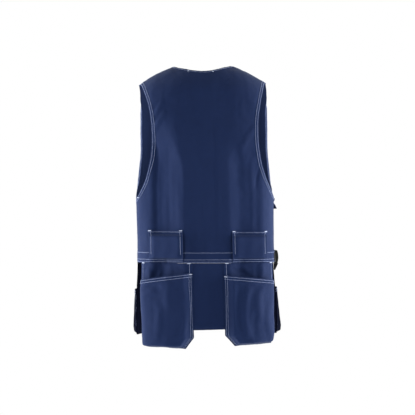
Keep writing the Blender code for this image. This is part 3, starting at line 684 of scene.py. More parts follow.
class Cloth:
    """A grid of points that becomes a closed wall. Where the grid has no point, it holds no number."""

    def __init__(self, grid, form=None, level_rows=()):
        there = ~np.isnan(grid[..., 0])
        self.ids = np.full(there.shape, -1)
        self.ids[there] = np.arange(there.sum())
        self.outer = grid[there]
        self.form = self.outer.copy() if form is None else form[there]
        level = [self.ids[row][self.ids[row] >= 0] for row in level_rows]
        self.level = np.concatenate(level + [[]]).astype(int)
        low, high = self.ids[:-1], self.ids[1:]
        corners = np.stack([low[:, :-1], low[:, 1:], high[:, 1:], high[:, :-1]], axis=-1)
        self.quads = corners[(corners >= 0).all(axis=-1)]
        if (self.normals() * self.outer)[:, :2].sum() < 0:
            self.quads = self.quads[:, ::-1]
        self.wear = np.zeros(len(self.outer))
        self.measure(grid, there)

    def measure(self, grid, there):
        """The flat cloth before it wrinkles: a place on it for each point, its size and its area."""
        across = np.linalg.norm(np.diff(grid, axis=1, prepend=grid[:, :1]), axis=-1)
        up = np.linalg.norm(np.diff(grid, axis=0, prepend=grid[:1]), axis=-1)
        u, v = np.nancumsum(across, axis=1), np.nancumsum(up, axis=0)
        self.flat = (float(u[:, -1].max()), float(v[-1].max()))
        u -= u[:, u.shape[1] // 2][:, None]
        self.place = np.stack([u, v], axis=-1)[there]
        self.area = float(np.linalg.norm(self.face_spans(), axis=1).sum() / 2)

    def edges(self):
        """The first and the last column, and the lowest and the highest row."""
        return self.ids[:, 0], self.ids[:, -1], self.ids[0], self.ids[-1]

    def face_spans(self):
        first, second, third, fourth = (self.outer[self.quads[:, corner]] for corner in range(4))
        return np.cross(third - first, fourth - second)

    def normals(self):
        spans = self.face_spans()
        total = np.zeros_like(self.outer)
        for corner in range(4):
            np.add.at(total, self.quads[:, corner], spans)
        total[np.abs(self.outer[:, 1]) < SIDE_SEAM_NEAR, 1] = 0.0
        total[self.level, 2] = 0.0
        return unit(total)

    def push(self, height):
        self.outer = self.outer + self.normals() * np.asarray(height)[:, None]

    def away(self, *edges):
        """How far each point is from the nearest of these edges."""
        shares = np.linspace(0, 1, EDGE_STEPS)[:-1, None, None]
        lines = [blend(ends[:-1], ends[1:], shares) for ends in (self.outer[edge] for edge in edges)]
        line = np.concatenate([part.reshape(-1, 3) for part in lines])
        tree = KDTree(len(line))
        for index, point in enumerate(line):
            tree.insert(point, index)
        tree.balance()
        return np.array([tree.find(point)[2] for point in self.outer])

    def drape(self):
        """Moves the cloth off its smooth form: flatter over the back, with folds and wrinkles all over."""
        self.push(drape_height(self.form))
        self.outer[:, 1] += facet_shift(self.form)

    def hem(self, edges, rise=HEM_RISE, pucker=HEM_PUCKER, width=HEM_WIDTH):
        """Turns the cloth double along these edges, puckers it there and wears its ridges."""
        away = self.away(*edges)
        ripple = rough(self.form, PUCKER_WIDTH, 1.0, PUCKER_SEED)
        near = np.exp(-((away / PUCKER_REACH) ** 2))
        self.push(rise * (1 - ease((away - width) / HEM_STEP + 0.5)) + pucker * near * ripple)
        self.wear = HEM_WEAR * np.exp(-away / HEM_WEAR_REACH) + RIDGE_WEAR * near * np.clip(ripple, 0, 1)

    def rub(self, edges, most, reach):
        """Wears the cloth pale along these edges."""
        self.wear = most * np.exp(-self.away(*edges) / reach)

    def hang(self):
        self.outer = hang(self.outer)

    def inset(self, edge, distance):
        """A line across the cloth that stays this far in from an edge."""
        points = self.outer[edge]
        along = unit(np.gradient(points, axis=0))
        inward = np.cross(self.normals()[edge], along)
        centres = self.outer[self.quads].mean(axis=1)
        lean = np.zeros_like(self.outer)
        for corner in range(4):
            np.add.at(lean, self.quads[:, corner], centres - self.outer[self.quads[:, corner]])
        inward *= np.sign((inward * lean[edge]).sum())
        return points + inward * distance

    def rim(self, free):
        """The edges round the cloth, and how a ring half way through it moves to round the free ones."""
        ends = np.stack([self.quads, np.roll(self.quads, -1, axis=1)], axis=-1).reshape(-1, 2)
        count = len(self.outer)
        keys, backwards = ends[:, 0] * count + ends[:, 1], ends[:, 1] * count + ends[:, 0]
        ends = ends[~np.isin(keys, backwards)]
        along = self.outer[ends[:, 1]] - self.outer[ends[:, 0]]
        push = np.zeros_like(self.outer)
        normals = self.normals()
        for end in range(2):
            np.add.at(push, ends[:, end], unit(np.cross(along, normals[ends[:, end]])))
        is_free = np.zeros(count)
        is_free[np.concatenate(free)] = 1.0
        return ends, unit(push) * is_free[:, None]

    def wall(self, name, thickness, material, free):
        """The closed piece: this face, a face one thickness behind it, and the rim between them."""
        normals = self.normals()
        ends, push = self.rim(free)
        count = len(self.outer)
        rim_ids = np.unique(ends)
        ring = np.full(count, -1)
        ring[rim_ids] = 2 * count + np.arange(len(rim_ids))
        middle = self.outer - normals * thickness / 2 + push * thickness * RIM_ROUNDING
        points = np.concatenate([self.outer, self.outer - normals * thickness, middle[rim_ids]])
        start, end = ends[:, 0], ends[:, 1]
        front_rim = np.stack([end, start, ring[start], ring[end]], axis=1)
        back_rim = np.stack([ring[end], ring[start], start + count, end + count], axis=1)
        faces = np.concatenate([self.quads, self.quads[:, ::-1] + count, front_rim, back_rim])
        piece = new_piece(name, points, faces, material)
        source = np.concatenate([np.arange(count), np.arange(count), rim_ids])
        corners = np.empty(len(piece.data.loops), dtype=np.int32)
        piece.data.loops.foreach_get("vertex_index", corners)
        layer = piece.data.uv_layers.new(name="cloth")
        layer.uv.foreach_set("vector", self.place[source][corners].astype(np.float32).ravel())
        wear = piece.data.attributes.new("wear", "FLOAT", "POINT")
        wear.data.foreach_set("value", self.wear[source].astype(np.float32))
        return piece

    def sheet(self, node, free, sewn=(), rests_on=(), slot="navy_twill", thickness=TWILL):
        """The finished sheet of cloth, which stands for a node."""
        piece = self.wall(f"{node}_cloth", thickness, finishes()[slot], free)
        stand_for(piece, node)

    def strap(self, name, node, slot, thickness=WEBBING):
        """The finished narrow strap, which stands for a node."""
        stand_for(self.wall(name, thickness, finishes()[slot], self.edges()), node)


def stand_for(piece, node):
    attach(piece, "root")
    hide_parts(node)


def new_piece(name, points, faces, material):
    data = bpy.data.meshes.new(name)
    data.from_pydata(np.asarray(points).tolist(), [], [list(map(int, face)) for face in faces])
    data.materials.append(material)
    data.shade_smooth()
    data.set_sharp_from_angle(angle=math.radians(SHARP_ANGLE))
    data.update()
    piece = bpy.data.objects.new(name, data)
    bpy.context.scene.collection.objects.link(piece)
    return piece


def taken_apart(shape):
    """The points and faces of a modelled object, which is then removed."""
    mesh = shape.data
    points = np.array([vertex.co[:] for vertex in mesh.vertices])
    faces = [list(face.vertices) for face in mesh.polygons]
    bpy.data.objects.remove(shape)
    bpy.data.meshes.remove(mesh)
    return points, faces


def joined(name, copies, faces, material):
    """One piece of many copies of a shape, each given by its points."""
    starts = np.arange(len(copies)) * len(copies[0])
    all_faces = [[corner + start for corner in face] for start in starts for face in faces]
    piece = new_piece(name, np.concatenate(copies), all_faces, material)
    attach(piece, "root")
    return piece


def rough(points, width, stretch, seed):
    """Smooth noise from -1 to 1 over the form, in patches this wide and longer by the stretch."""
    scaled = points / (width, width, width * stretch) + seed
    return np.array([noise.noise(Vector(point)) for point in scaled])


def facet_shift(form):
    """How much further back the faceted cloth lies than its smooth form."""
    x, y, height = form.T
    share = np.minimum(BACK_FACETS[-1].share, np.abs(x) / curve(SECTIONS, "half_width", height))
    drift = ease((height - FACET_DRIFT_LOW) / FACET_DRIFT_FADE)
    drifted = share - FACET_DRIFT * drift * ease(share / FACET_DRIFT_START)
    spread = [drifted + FACET_SPREAD * drift * part for part in FACET_SPREAD_PARTS]
    left = np.mean([curve(BACK_FACETS, "left", place) for place in spread], axis=0)
    right = curve(BACK_FACETS, "right", share)
    high = curve(BACK_FACETS, "high", share)
    left_share = ease((LEFT_FACETS_TOP - height) / FACET_FADE)
    right_share = ease((RIGHT_FACETS_TOP - height) / FACET_FADE)
    depth = np.where(x > 0, blend(high, left, left_share), blend(high, right, right_share))
    smooth = (1 - share**SQUARENESS) ** (1 / SQUARENESS)
    return np.clip(y, 0, None) * (depth / smooth - 1)


def crease_height(form):
    """How far the creases of the back stand out at these places of the form."""
    places = form[:, [0, 2]]
    total = np.zeros(len(form))
    way = np.linspace(0, 1, CREASE_STEPS)[:, None]
    for crease in CREASES:
        start, middle, end = (np.array(place) for place in crease[:3])
        bend = 2 * middle - (start + end) / 2
        line = (1 - way) ** 2 * start + 2 * way * (1 - way) * bend + way**2 * end
        step = np.diff(line, axis=0)
        from_start = places[:, None] - line[:-1]
        share = np.clip((from_start * step).sum(axis=2) / (step**2).sum(axis=1), 0, 1)
        gap = np.linalg.norm(from_start - share[..., None] * step, axis=2)
        nearest = gap.argmin(axis=1)
        along = (nearest + share[np.arange(len(form)), nearest]) / (CREASE_STEPS - 1)
        away = np.minimum(1, gap.min(axis=1) / crease.half_width)
        fade = np.sqrt(np.clip(4 * along * (1 - along), 0, 1))
        total += crease.height * (1 - away) ** 2 * (1 + 2 * away) * fade
    return total


def fold_height(folds, form):
    x, height = form[:, 0], form[:, 2]
    total = np.zeros(len(form))
    for fold in folds:
        away = np.minimum(1.0, np.abs(x - fold.across) / fold.half_width)
        ends = ease((fold.top - height) / FOLD_FADE) * ease((height - fold.bottom) / FOLD_FADE)
        total += fold.height * (1 + np.cos(np.pi * away)) / 2 * ends
    return total


def drape_height(form):
    """How far the cloth stands out of its smooth form there, the same for every layer."""
    front_folds = FRONT_FOLDS + tuple(fold._replace(across=-fold.across) for fold in FRONT_FOLDS)
    back = fold_height(BACK_FOLDS, form) + crease_height(form)
    total = np.where(form[:, 1] > 0, back, fold_height(front_folds, form))
    for wrinkle in WRINKLES:
        total += wrinkle.height * rough(form, wrinkle.width, wrinkle.stretch, wrinkle.seed)
    for seam in (WAIST_TOP, WAIST_LOW):
        near = np.exp(-(((form[:, 2] - seam) / PUCKER_REACH) ** 2))
        total += WAIST_PUCKER * near * rough(form, PUCKER_WIDTH, 1.0, PUCKER_SEED)
    return total


def stitch_shape():
    """One stitch, a grain one unit long and wide, modelled once and copied along every seam."""
    bpy.ops.object.select_all(action="DESELECT")
    bpy.ops.mesh.primitive_uv_sphere_add(
        segments=6, ring_count=4, radius=0.5, rotation=(0, math.pi / 2, 0)
    )
    bpy.ops.object.transform_apply(location=True, rotation=True, scale=True)
    bpy.ops.object.mode_set(mode="EDIT")
    bpy.ops.mesh.select_all(action="SELECT")
    bpy.ops.mesh.normals_make_consistent(inside=False)
    bpy.ops.object.mode_set(mode="OBJECT")
    points, faces = taken_apart(bpy.context.object)
    points[:, 0] = np.copysign(np.abs(2 * points[:, 0]) ** GRAIN_BLUNTNESS / 2, points[:, 0])
    return points, faces


def walk(line, pitch):
    """Places along a line, one pitch apart, and the way along it there."""
    steps = np.linalg.norm(np.diff(line, axis=0), axis=1)
    way = np.concatenate([[0.0], np.cumsum(steps)])
    count = max(1, round(way[-1] / pitch))
    at = (np.arange(count) + 0.5) * way[-1] / count

    def point_at(distance):
        return np.stack([np.interp(distance, way, line[:, axis]) for axis in range(3)], axis=1)

    return point_at(at), unit(point_at(at + pitch / 4) - point_at(at - pitch / 4))


class Needle:
    """Sews lines of stitches and bartacks on a cloth's outer face."""

    def __init__(self, cloth):
        self.cloth = cloth
        self.surface = BVHTree.FromPolygons(cloth.outer.tolist(), cloth.quads.tolist())
        self.sizes = bpy.context.scene.vest_sizes
        self.stitches = []
        self.tacks = []

    def seam(self, edge, distances):
        """Lines of stitches that keep these distances from an edge."""
        length = self.sizes.stitch_length
        for distance in distances:
            places, ways = walk(self.cloth.inset(edge, distance), length + self.sizes.stitch_gap)
            self.stitches += [(place, way, length) for place, way in zip(places, ways)]

    def tack(self, start, end):
        """A bartack: short stitches packed side by side from one point to the other."""
        start, end = np.asarray(start), np.asarray(end)
        count = max(LEAST_TACK, round(np.linalg.norm(end - start) / self.sizes.tack_pitch))
        way = unit(end - start)
        for index in range(count):
            place = blend(start, end, (index + 0.5) / count)
            normal = np.array(self.surface.find_nearest(Vector(place))[1])
            across = unit(np.cross(normal, way) + way * TACK_SLANT * (-1) ** index)
            self.tacks.append((place, across, self.sizes.tack_width))

    def tack_across(self, edge, index, distance, length):
        """A bartack that starts in from an edge and runs away from it."""
        start, end = (self.cloth.inset(edge, distance + part)[index] for part in (0, length))
        self.tack(start, end)

    def tack_along(self, edge, index, distance, length):
        """A bartack that starts in from an edge and runs along it."""
        line = self.cloth.inset(edge, distance)
        way = unit(line[index + 1] - line[max(index - 1, 0)])
        self.tack(line[index], line[index] + way * length)

    def made(self, name):
        """The stitching of one piece, as one joined mesh of thread and one of bartacks."""
        shape = stitch_shape()
        kinds = (
            ("stitching", self.stitches, "thread", STITCH_SINK),
            ("bartacks", self.tacks, "bartack", 0.0),
        )
        return [
            self.sewn(f"{name}_{kind}", frames, shape, finishes()[thread], sink)
            for kind, frames, thread, sink in kinds
            if frames
        ]

    def sewn(self, name, frames, shape, material, sink):
        grain, faces = shape
        thick = self.sizes.thread_thickness
        copies = []
        for place, way, length in frames:
            found, normal = map(np.array, self.surface.find_nearest(Vector(place))[:2])
            way = unit(way - normal * way.dot(normal))
            middle = found + normal * thick * (0.5 - sink)
            size = np.array([length, thick, thick]) * grain
            copies.append(middle + size @ np.stack([way, np.cross(normal, way), normal]))
        piece = joined(name, copies, faces, material)
        piece.data.shade_smooth()
        return piece


class Wire:
    """A socket that takes part in sums."""

    def __init__(self, finish, socket):
        self.finish = finish
        self.socket = socket

    def math(self, operation, *values):
        settings = {"operation": operation}
        return self.finish.node("ShaderNodeMath", settings, dict(enumerate((self,) + values)))

    def __add__(self, other):
        return self.math("ADD", other)

    def __sub__(self, other):
        return self.math("SUBTRACT", other)

    def __mul__(self, other):
        return self.math("MULTIPLY", other)

    __radd__ = __add__

    def sine(self):
        return self.math("SINE")


class Finish:
    """One material, built up from its nodes."""

    def __init__(self, name):
        self.material = bpy.data.materials.new(name)
        self.material.use_nodes = True
        self.tree = self.material.node_tree
        self.shader = self.tree.nodes["Principled BSDF"]

    def node(self, kind, settings=None, inputs=None, output=0):
        node = self.tree.nodes.new(kind)
        for setting, value in (settings or {}).items():
            setattr(node, setting, value)
        for socket, value in (inputs or {}).items():
            self.feed(node.inputs[socket], value)
        return Wire(self, node.outputs[output])

    def feed(self, socket, value):
        if isinstance(value, Wire):
            self.tree.links.new(value.socket, socket)
        else:
            socket.default_value = value

    def place(self):
        """Where a point lies on the flat cloth: across it, up it, and the two as one vector."""
        flat = self.node("ShaderNodeUVMap", {"uv_map": "cloth"})
        across, up = (self.node("ShaderNodeSeparateXYZ", inputs={0: flat}, output=axis) for axis in (0, 1))
        return across, up, flat

    def solid_place(self):
        return self.node("ShaderNodeTexCoord", output=3)

    def grain(self, vector, width, detail=2.0, stretch=(1.0, 1.0, 1.0)):
        """Noise from 0 to 1 in patches of this width."""
        scale = tuple(1 / (width * part) for part in stretch)
        scaled = self.node("ShaderNodeVectorMath", {"operation": "MULTIPLY"}, {0: vector, 1: scale})
        return self.node("ShaderNodeTexNoise", inputs={"Vector": scaled, "Scale": 1.0, "Detail": detail})

    def ridges(self, along, pitch):
        """Waves from 0 to 1 with this pitch."""
        return (along * (2 * math.pi / pitch)).sine() * 0.5 + 0.5

    def mix(self, share, low, high):
        settings = {"data_type": "RGBA"}
        return self.node("ShaderNodeMix", settings, {0: share, 6: low, 7: high}, output=2)

    def bump(self, height, strength, distance):
        inputs = {"Height": height, "Strength": strength, "Distance": distance}
        self.feed(self.shader.inputs["Normal"], self.node("ShaderNodeBump", inputs=inputs))

    def surface(self, colour, roughness, specular=0.5, **others):
        sockets = {"Base Color": colour, "Roughness": roughness, "Specular IOR Level": specular}
        for socket, value in {**sockets, **others}.items():
            self.feed(self.shader.inputs[socket], value)
        return self.material


def shade(colour, factor):
    return tuple(part * factor for part in colour[:3]) + (1.0,)


def twill(finish, colour, worn_colour, gloss=1.0):
    """Cotton twill: slanting ribs of slightly uneven yarn, mottled, and rubbed pale along its edges."""
    across, up, flat = finish.place()
    unevenness = finish.grain(flat, YARN_UNEVEN, stretch=(1.0, 4.0, 1.0))
    rib = finish.ridges(across + up + unevenness * RIB_STRAY, TWILL_RIB)
    yarn = finish.ridges(up - across * YARN_SLANT + unevenness * YARN_STRAY, TWILL_YARN)
    mottle = finish.grain(flat, TWILL_MOTTLE, detail=3.0)
    slub = finish.grain(flat, TWILL_SLUB, stretch=(1.0, 9.0, 1.0))
    dark, light = (shade(colour, factor) for factor in TWILL_SHADES)
    cloth = finish.mix(rib * 0.35 + slub * 0.35 + mottle * 0.30, dark, light)
    wear = finish.node("ShaderNodeAttribute", {"attribute_name": "wear"}, output=2)
    rubbed = wear * (0.25 + slub * 0.75) * WEAR_SHARE
    finish.bump(rib * 0.6 + yarn * 0.2 + slub * 0.5, 0.5, TWILL_RELIEF)
    sheen = {"Sheen Weight": CLOTH_SHEEN * gloss, "Sheen Tint": SHEEN_TINT}
    roughness = 0.74 + slub * 0.16 - rib * 0.06
    return finish.surface(finish.mix(rubbed, cloth, worn_colour), roughness, CLOTH_SPECULAR * gloss, **sheen)


def thread(finish, colour):
    """Twisted sewing thread, a little uneven in colour."""
    place = finish.solid_place()
    fibre, patches = finish.grain(place, THREAD_FIBRE), finish.grain(place, THREAD_PATCH)
    strand = finish.mix(fibre * 0.6 + patches * 0.4, shade(colour, 0.75), shade(colour, 1.2))
    finish.bump(fibre, 0.4, THREAD_RELIEF)
    return finish.surface(strand, 0.45 + fibre * 0.2, 0.3, **{"Sheen Weight": 0.2})


def webbing(finish, colour):
    """Narrow woven tape with a rib along it and a fine weave across."""
    across, up, flat = finish.place()
    rib, weave = finish.ridges(up, WEBBING_RIB), finish.ridges(across, WEBBING_WEAVE)
    fibre = finish.grain(flat, WEBBING_FIBRE)
    woven = finish.mix(rib * 0.4 + fibre * 0.6, shade(colour, 0.7), shade(colour, 1.7))
    finish.bump(rib * 0.6 + weave * 0.5 + fibre * 0.3, 0.6, TWILL_RELIEF)
    return finish.surface(woven, 0.62 + fibre * 0.2, CLOTH_SPECULAR, **{"Sheen Weight": 0.04})


def plastic(finish, colour):
    """Moulded plastic with a fine eggshell skin and faint scuffs."""
    place = finish.solid_place()
    skin = finish.grain(place, PLASTIC_SKIN)
    scuff = finish.grain(place, PLASTIC_SCUFF, detail=4.0, stretch=(1.0, 0.3, 1.0))
    moulded = finish.mix(scuff * 0.7 + skin * 0.3, shade(colour, 0.8), shade(colour, 1.5))
    finish.bump(skin * 0.6 + scuff * 0.4, 0.25, PLASTIC_RELIEF)
    return finish.surface(moulded, 0.38 + scuff * 0.25, 0.2)


def metal(finish, colour):
    """Plated metal of the zip's teeth."""
    brushed = finish.grain(finish.solid_place(), METAL_BRUSHING, detail=3.0, stretch=(0.4, 1.0, 1.0))
    plated = finish.mix(brushed, shade(colour, 0.75), shade(colour, 1.15))
    finish.bump(brushed, 0.15, METAL_RELIEF)
    return finish.surface(plated, 0.28 + brushed * 0.2, Metallic=1.0)


def paper(finish, colour):
    """The plain floor, very slightly uneven."""
    speckle = finish.grain(finish.solid_place(), FLOOR_SPECKLE, detail=3.0)
    uneven = finish.mix(speckle, shade(colour, 0.98), shade(colour, 1.02))
    return finish.surface(uneven, 0.7 + speckle * 0.1, 0.2)


def finishes():
    """All the materials, by slot or by use, from the colours in the sidebar. Each is made once."""
    colours = bpy.context.scene.vest_colours
    # The dark navy is painted shade on the front holsters, and the zip tape's own dark colour
    dark = colours.navy_dark_and_painted_shade
    recipes = (
        ("navy_twill", "navy twill", twill, colours.navy, shade(colours.worn, 1.0)),
        # Front holsters: the navy twill darkened as painted shade, with its shine cut down
        ("shaded_twill", "navy twill in shade", twill, dark, shade(dark, SHADED_TWILL_WEAR), SHADED_TWILL_GLOSS),
        ("thread", "pale thread", thread, colours.thread),
        ("bartack", "bartack thread", thread, colours.bartack),
        ("webbing", "black webbing", webbing, colours.webbing),
        ("black_plastic", "black plastic", plastic, colours.plastic),
        ("zip_tape", "zip tape", webbing, dark),
        ("metal", "zip metal", metal, colours.metal),
    )
    return {
        use: bpy.data.materials.get(name) or recipe(Finish(name), *settings)
        for use, name, recipe, *settings in recipes
    }


def panel_edges(cloth, centre, way):
    """The neckline, shoulder and armhole of half a panel, whose columns run this way from its centre."""
    last = NECK_COLUMNS + SHOULDER_COLUMNS

    def columns(start, end):
        return [centre + way * column for column in range(start, end)]

    neck = cloth.ids[-1, columns(0, NECK_COLUMNS + 1)]
    shoulder = cloth.ids[-1, columns(NECK_COLUMNS, last + 1)]
    underarm = cloth.ids[LOW_ROWS, columns(last + 1, last + SIDE_COLUMNS + 1)]
    armhole = np.concatenate([underarm[::-1], cloth.ids[LOW_ROWS:, centre + way * last]])
    return neck, shoulder, armhole


def make_back():
    half = panel_grid(1, 0.0)
    cloth = Cloth(np.concatenate([mirrored(half)[:, :0:-1], half], axis=1), level_rows=(0,))
    centre = half.shape[1] - 1
    left_neck, left_shoulder, left_armhole = panel_edges(cloth, centre, 1)
    right_neck, right_shoulder, right_armhole = panel_edges(cloth, centre, -1)
    neck = np.concatenate([right_neck[:0:-1], left_neck])
    cloth.drape()
    cloth.hem([neck, left_armhole, right_armhole, left_shoulder, right_shoulder])
    cloth.hang()
    needle = Needle(cloth)
    needle.seam(neck, [NECK_STITCH])
    for shoulder, armhole in ((left_shoulder, left_armhole), (right_shoulder, right_armhole)):
        needle.seam(shoulder, [SHOULDER_STITCH])
        needle.seam(armhole, ARMHOLE_STITCHES)
        needle.tack_along(armhole, 1, ARMHOLE_STITCHES[0], TACK_LENGTH)
    for place in HANGER_TACKS_AT:
        end = np.abs(cloth.outer[neck][:, 0] - place).argmin()
        needle.tack_across(neck, end, HANGER_TACK_START, HANGER_TACK)
    needle.tack(*UNDERARM_TACK)
    cloth.sheet("back_panel", [neck, left_armhole, right_armhole], needle.made("back"))


def curl_armhole(cloth, armhole):
    """Curls a front's armhole edge back round the side."""
    height = cloth.form[:, 2]
    share = np.clip(1 - cloth.away(armhole) / CURL_WIDTH, 0, 1)
    there = ease((height - CURL_LOW) / CURL_FADE) * ease((CURL_HIGH - height) / CURL_FADE)
    inward = -CURL_IN * share**2 + CURL_OUT * 4 * share * (1 - share)
    cloth.outer[:, 0] += np.sign(cloth.form[:, 0]) * inward * there
    cloth.outer[:, 1] += CURL_BACK * share * there


def make_fronts():
    half = panel_grid(-1, FRONT_EDGE)
    for side, grid in (("left", half), ("right", mirrored(half))):
        cloth = Cloth(grid, level_rows=(0,))
        neck, shoulder, armhole = panel_edges(cloth, 0, 1)
        opening = cloth.ids[:, 0]
        cloth.drape()
        cloth.hem([neck, armhole, shoulder, opening])
        curl_armhole(cloth, armhole)
        cloth.hang()
        needle = Needle(cloth)
        needle.seam(neck, [NECK_STITCH])
        needle.seam(shoulder, [SHOULDER_STITCH])
        needle.seam(armhole, ARMHOLE_STITCHES)
        needle.seam(opening, FRONT_EDGE_STITCHES)
        cloth.sheet(f"front_panel_{side}", [neck, armhole, opening], needle.made(f"front_{side}"))


def seam_angles(side, start):
    """Angles of a panel's columns along the waist, from its centre line to the side seam."""
    turns = np.degrees(low_columns(side, start)[0])
    return turns if side > 0 else 180 - turns


def seated(angles, heights, lift, **settings):
    """A cloth that follows the body form, and stands this far off it."""
    return Cloth(lifted(angles, heights, lift), body(angles, heights), **settings)


def make_waistband():
    half = np.concatenate([seam_angles(1, 0.0), seam_angles(-1, FRONT_EDGE)[-2::-1]])
    angles = np.concatenate([-half[:0:-1], half])[None, :]
    heights = np.linspace(WAIST_LOW, WAIST_TOP, WAISTBAND_ROWS)[:, None]
    cloth = seated(angles, heights, WAISTBAND_LIFT, level_rows=(0, -1))
    cloth.drape()
    first, last, low, top = cloth.edges()
    cloth.rub([low, top], *WAISTBAND_WEAR)
    cloth.hang()
    needle = Needle(cloth)
    needle.seam(top, [WAIST_TOP_STITCH])
    needle.seam(low, WAIST_LOW_STITCHES)
    sewn = needle.made("waistband")
    cloth.sheet("waistband", [first, last], sewn, ["back_panel"], thickness=WAISTBAND_CLOTH)


def make_tail():
    rows = round((WAIST_LOW - TAIL_HEM) / MESH_STEP)
    heights = np.linspace(TAIL_HEM, WAIST_LOW - SEAM, rows)[:, None]
    across = np.linspace(-TAIL_HALF, TAIL_HALF, round(2 * TAIL_HALF / MESH_STEP))[None, :]
    cloth = seated(np.degrees(turn_at(across, heights)), heights, TAIL_LIFT, level_rows=(-1,))
    cloth.drape()
    hem = cloth.ids[0]
    cloth.hem([hem], width=TAIL_HEM_WIDTH)
    cloth.hang()
    cloth.sheet("back_tail", [hem], rests_on=["waistband"])


def holster_edge(height, foot, low, top, cut, cut_height):
    """The angle of a holster pocket's side edge, whose lower corner is cut off."""
    way = np.clip((height - foot) / (WAIST_LOW - foot), 0, 1)
    return blend(low, top, way) + cut * (1 - np.clip((height - foot) / cut_height, 0, 1))


def close_ends(count):
    """Shares from 0 to 1 that lie closer together towards both ends."""
    even = np.linspace(0.0, 1.0, count)
    return (even + (1 - np.cos(np.pi * even)) / 2) / 2


def holster_grid(holster, rows, columns, top_inner, top_outer):
    """Angles and heights of a holster pocket's grid, and the share of each row and column."""
    row, column = close_ends(rows)[:, None], close_ends(columns)[None, :]
    low_inner, low_outer = holster.foot_inner, holster.foot_outer
    inner_height, outer_height = blend(low_inner, top_inner, row), blend(low_outer, top_outer, row)
    cut, cut_height = math.copysign(holster.cut_outer, -holster.cut_inner), holster.cut_height
    inner = holster_edge(
        inner_height, low_inner, holster.inner_low, holster.inner_top, holster.cut_inner, cut_height
    )
    outer = holster_edge(outer_height, low_outer, holster.outer_low, holster.outer_top, cut, cut_height)
    angles = holster.turn * blend(inner, outer, column)
    return angles, blend(inner_height, outer_height, column), row, column


def wall_rise(share, wall_share):
    """0 on the sewn flange, 1 past the pocket's standing wall."""
    return ease((share - FLANGE) / (wall_share - FLANGE)) ** WALL_STEEPNESS


def make_holster_base(holster, node, slot):
    top = WAIST_LOW - SEAM
    angles, heights, _, _ = holster_grid(holster, BASE_ROWS, BASE_COLUMNS, top, top)
    cloth = seated(angles, heights, BASE_LIFT, level_rows=(-1,))
    cloth.drape()
    cloth.hang()
    inner, outer, low, _ = cloth.edges()
    needle = Needle(cloth)
    mouth = holster.mouth_inner - POCKET_STITCHES[0]
    shown = (
        [index for index in inner if cloth.form[index, 2] > mouth],
        [index for index in outer if cloth.form[index, 2] > holster.mouth_outer],
    )
    for edge in shown:
        needle.seam(edge, [BASE_STITCH])
    for edge in shown:
        needle.tack_across(edge, -1, POCKET_STITCHES[0], TACK_LENGTH)
    cloth.sheet(node, [inner, outer, low], needle.made(node), ["waistband"], slot)


def make_holster_pouch(holster, node, base, slot):
    angles, heights, row, column = holster_grid(
        holster, POUCH_ROWS, POUCH_COLUMNS, holster.mouth_inner, holster.mouth_outer
    )
    rise = wall_rise(column, WALL_SHARE) * wall_rise(1 - column, holster.outer_wall)
    rise = rise * np.sqrt(ease(row / POUCH_FOOT_SHARE))
    rise_inner, rise_outer = POUCH_BOX_RISE
    boxed = holster.box * ease(column / rise_inner) * ease((1 - column) / rise_outer)
    depth = blend(holster.depth_foot, holster.depth_mouth, row) + boxed * blend(1.0, POUCH_BOX_MOUTH, row)
    cloth = seated(angles, heights, POUCH_SEAT + depth * rise)
    cloth.drape()
    free_share = rise.ravel()
    cloth.outer[:, 1] -= POUCH_FREE * free_share * facet_shift(cloth.form)
    width, stretch, seed = POUCH_ROUGH
    cloth.push(free_share * POUCH_BILLOW * rough(cloth.form, width, stretch, seed + holster.turn))
    inner, outer, foot, mouth = cloth.edges()
    cloth.hem([mouth, inner, outer, foot], *POUCH_HEM)
    near = np.exp(-((cloth.away(mouth, inner) / PUCKER_REACH) ** 2))
    cloth.wear *= blend(POUCH_WEAR, 1.0, near)
    cloth.hang()
    needle = Needle(cloth)
    needle.seam(mouth, POCKET_STITCHES)
    needle.seam(inner, POCKET_STITCHES)
    if holster.name == "front_holster":
        needle.seam(outer, POCKET_STITCHES[:1])
        needle.seam(foot, POCKET_STITCHES[:1])
    needle.tack_along(mouth, 0, POCKET_STITCHES[0], TACK_LENGTH)
    needle.tack_along(mouth, len(mouth) - 3, POCKET_STITCHES[0], TACK_LENGTH / 2)
    cloth.sheet(node, [mouth, inner, outer, foot], needle.made(node), [base], slot)


def make_holsters():
    for holster in HOLSTERS:
        side = "left" if holster.turn > 0 else "right"
        base, pouch = (f"{holster.name}_{piece}_{side}" for piece in ("base", "pouch"))
        # The front holsters take the twill darkened as painted shade
        slot = "navy_twill" if holster.name == "back_holster" else "shaded_twill"
        make_holster_base(holster, base, slot)
        make_holster_pouch(holster, pouch, base, slot)


def loop_plane():
    """The upright plane of a belt loop's flat face: its normal, the way along it, and how far out it is."""
    places = ((LOOP_FACES_ACROSS, WAIST_LOW), (LOOP_FACES_ACROSS, LOOP_FACES_AT))
    turns = [(np.degrees(turn_at(across, height)), height) for across, height in places]
    normal = unit(outward(*turns[1]) * (1, 1, 0))
    along = np.array([normal[1], -normal[0], 0.0])
    return normal, along, max(body(*turn) @ normal for turn in turns) + LOOP_STAND


def loop_face(loop, heights, offsets):
    """The loop's free face, which stands off the waistband in a plane, turned a little and rumpled."""
    normal, along, stand = loop_plane()
    centre = body(np.degrees(turn_at(loop.centre, loop.top)), loop.top) @ along
    bend = LOOP_END_BEND * ease((np.abs(offsets) - LOOP_FLAT_HALF) / (LOOP_HALF - LOOP_FLAT_HALF))
    out = stand - bend + loop.twist * offsets
    x = along[0] * (centre + offsets) + normal[0] * out
    face = stack(loop.turn * x, along[1] * (centre + offsets) + normal[1] * out, heights)
    rumple = LOOP_RUMPLE * rough(face.reshape(-1, 3), *LOOP_ROUGH)
    face[..., 1] += rumple.reshape(face.shape[:2])
    return x, face


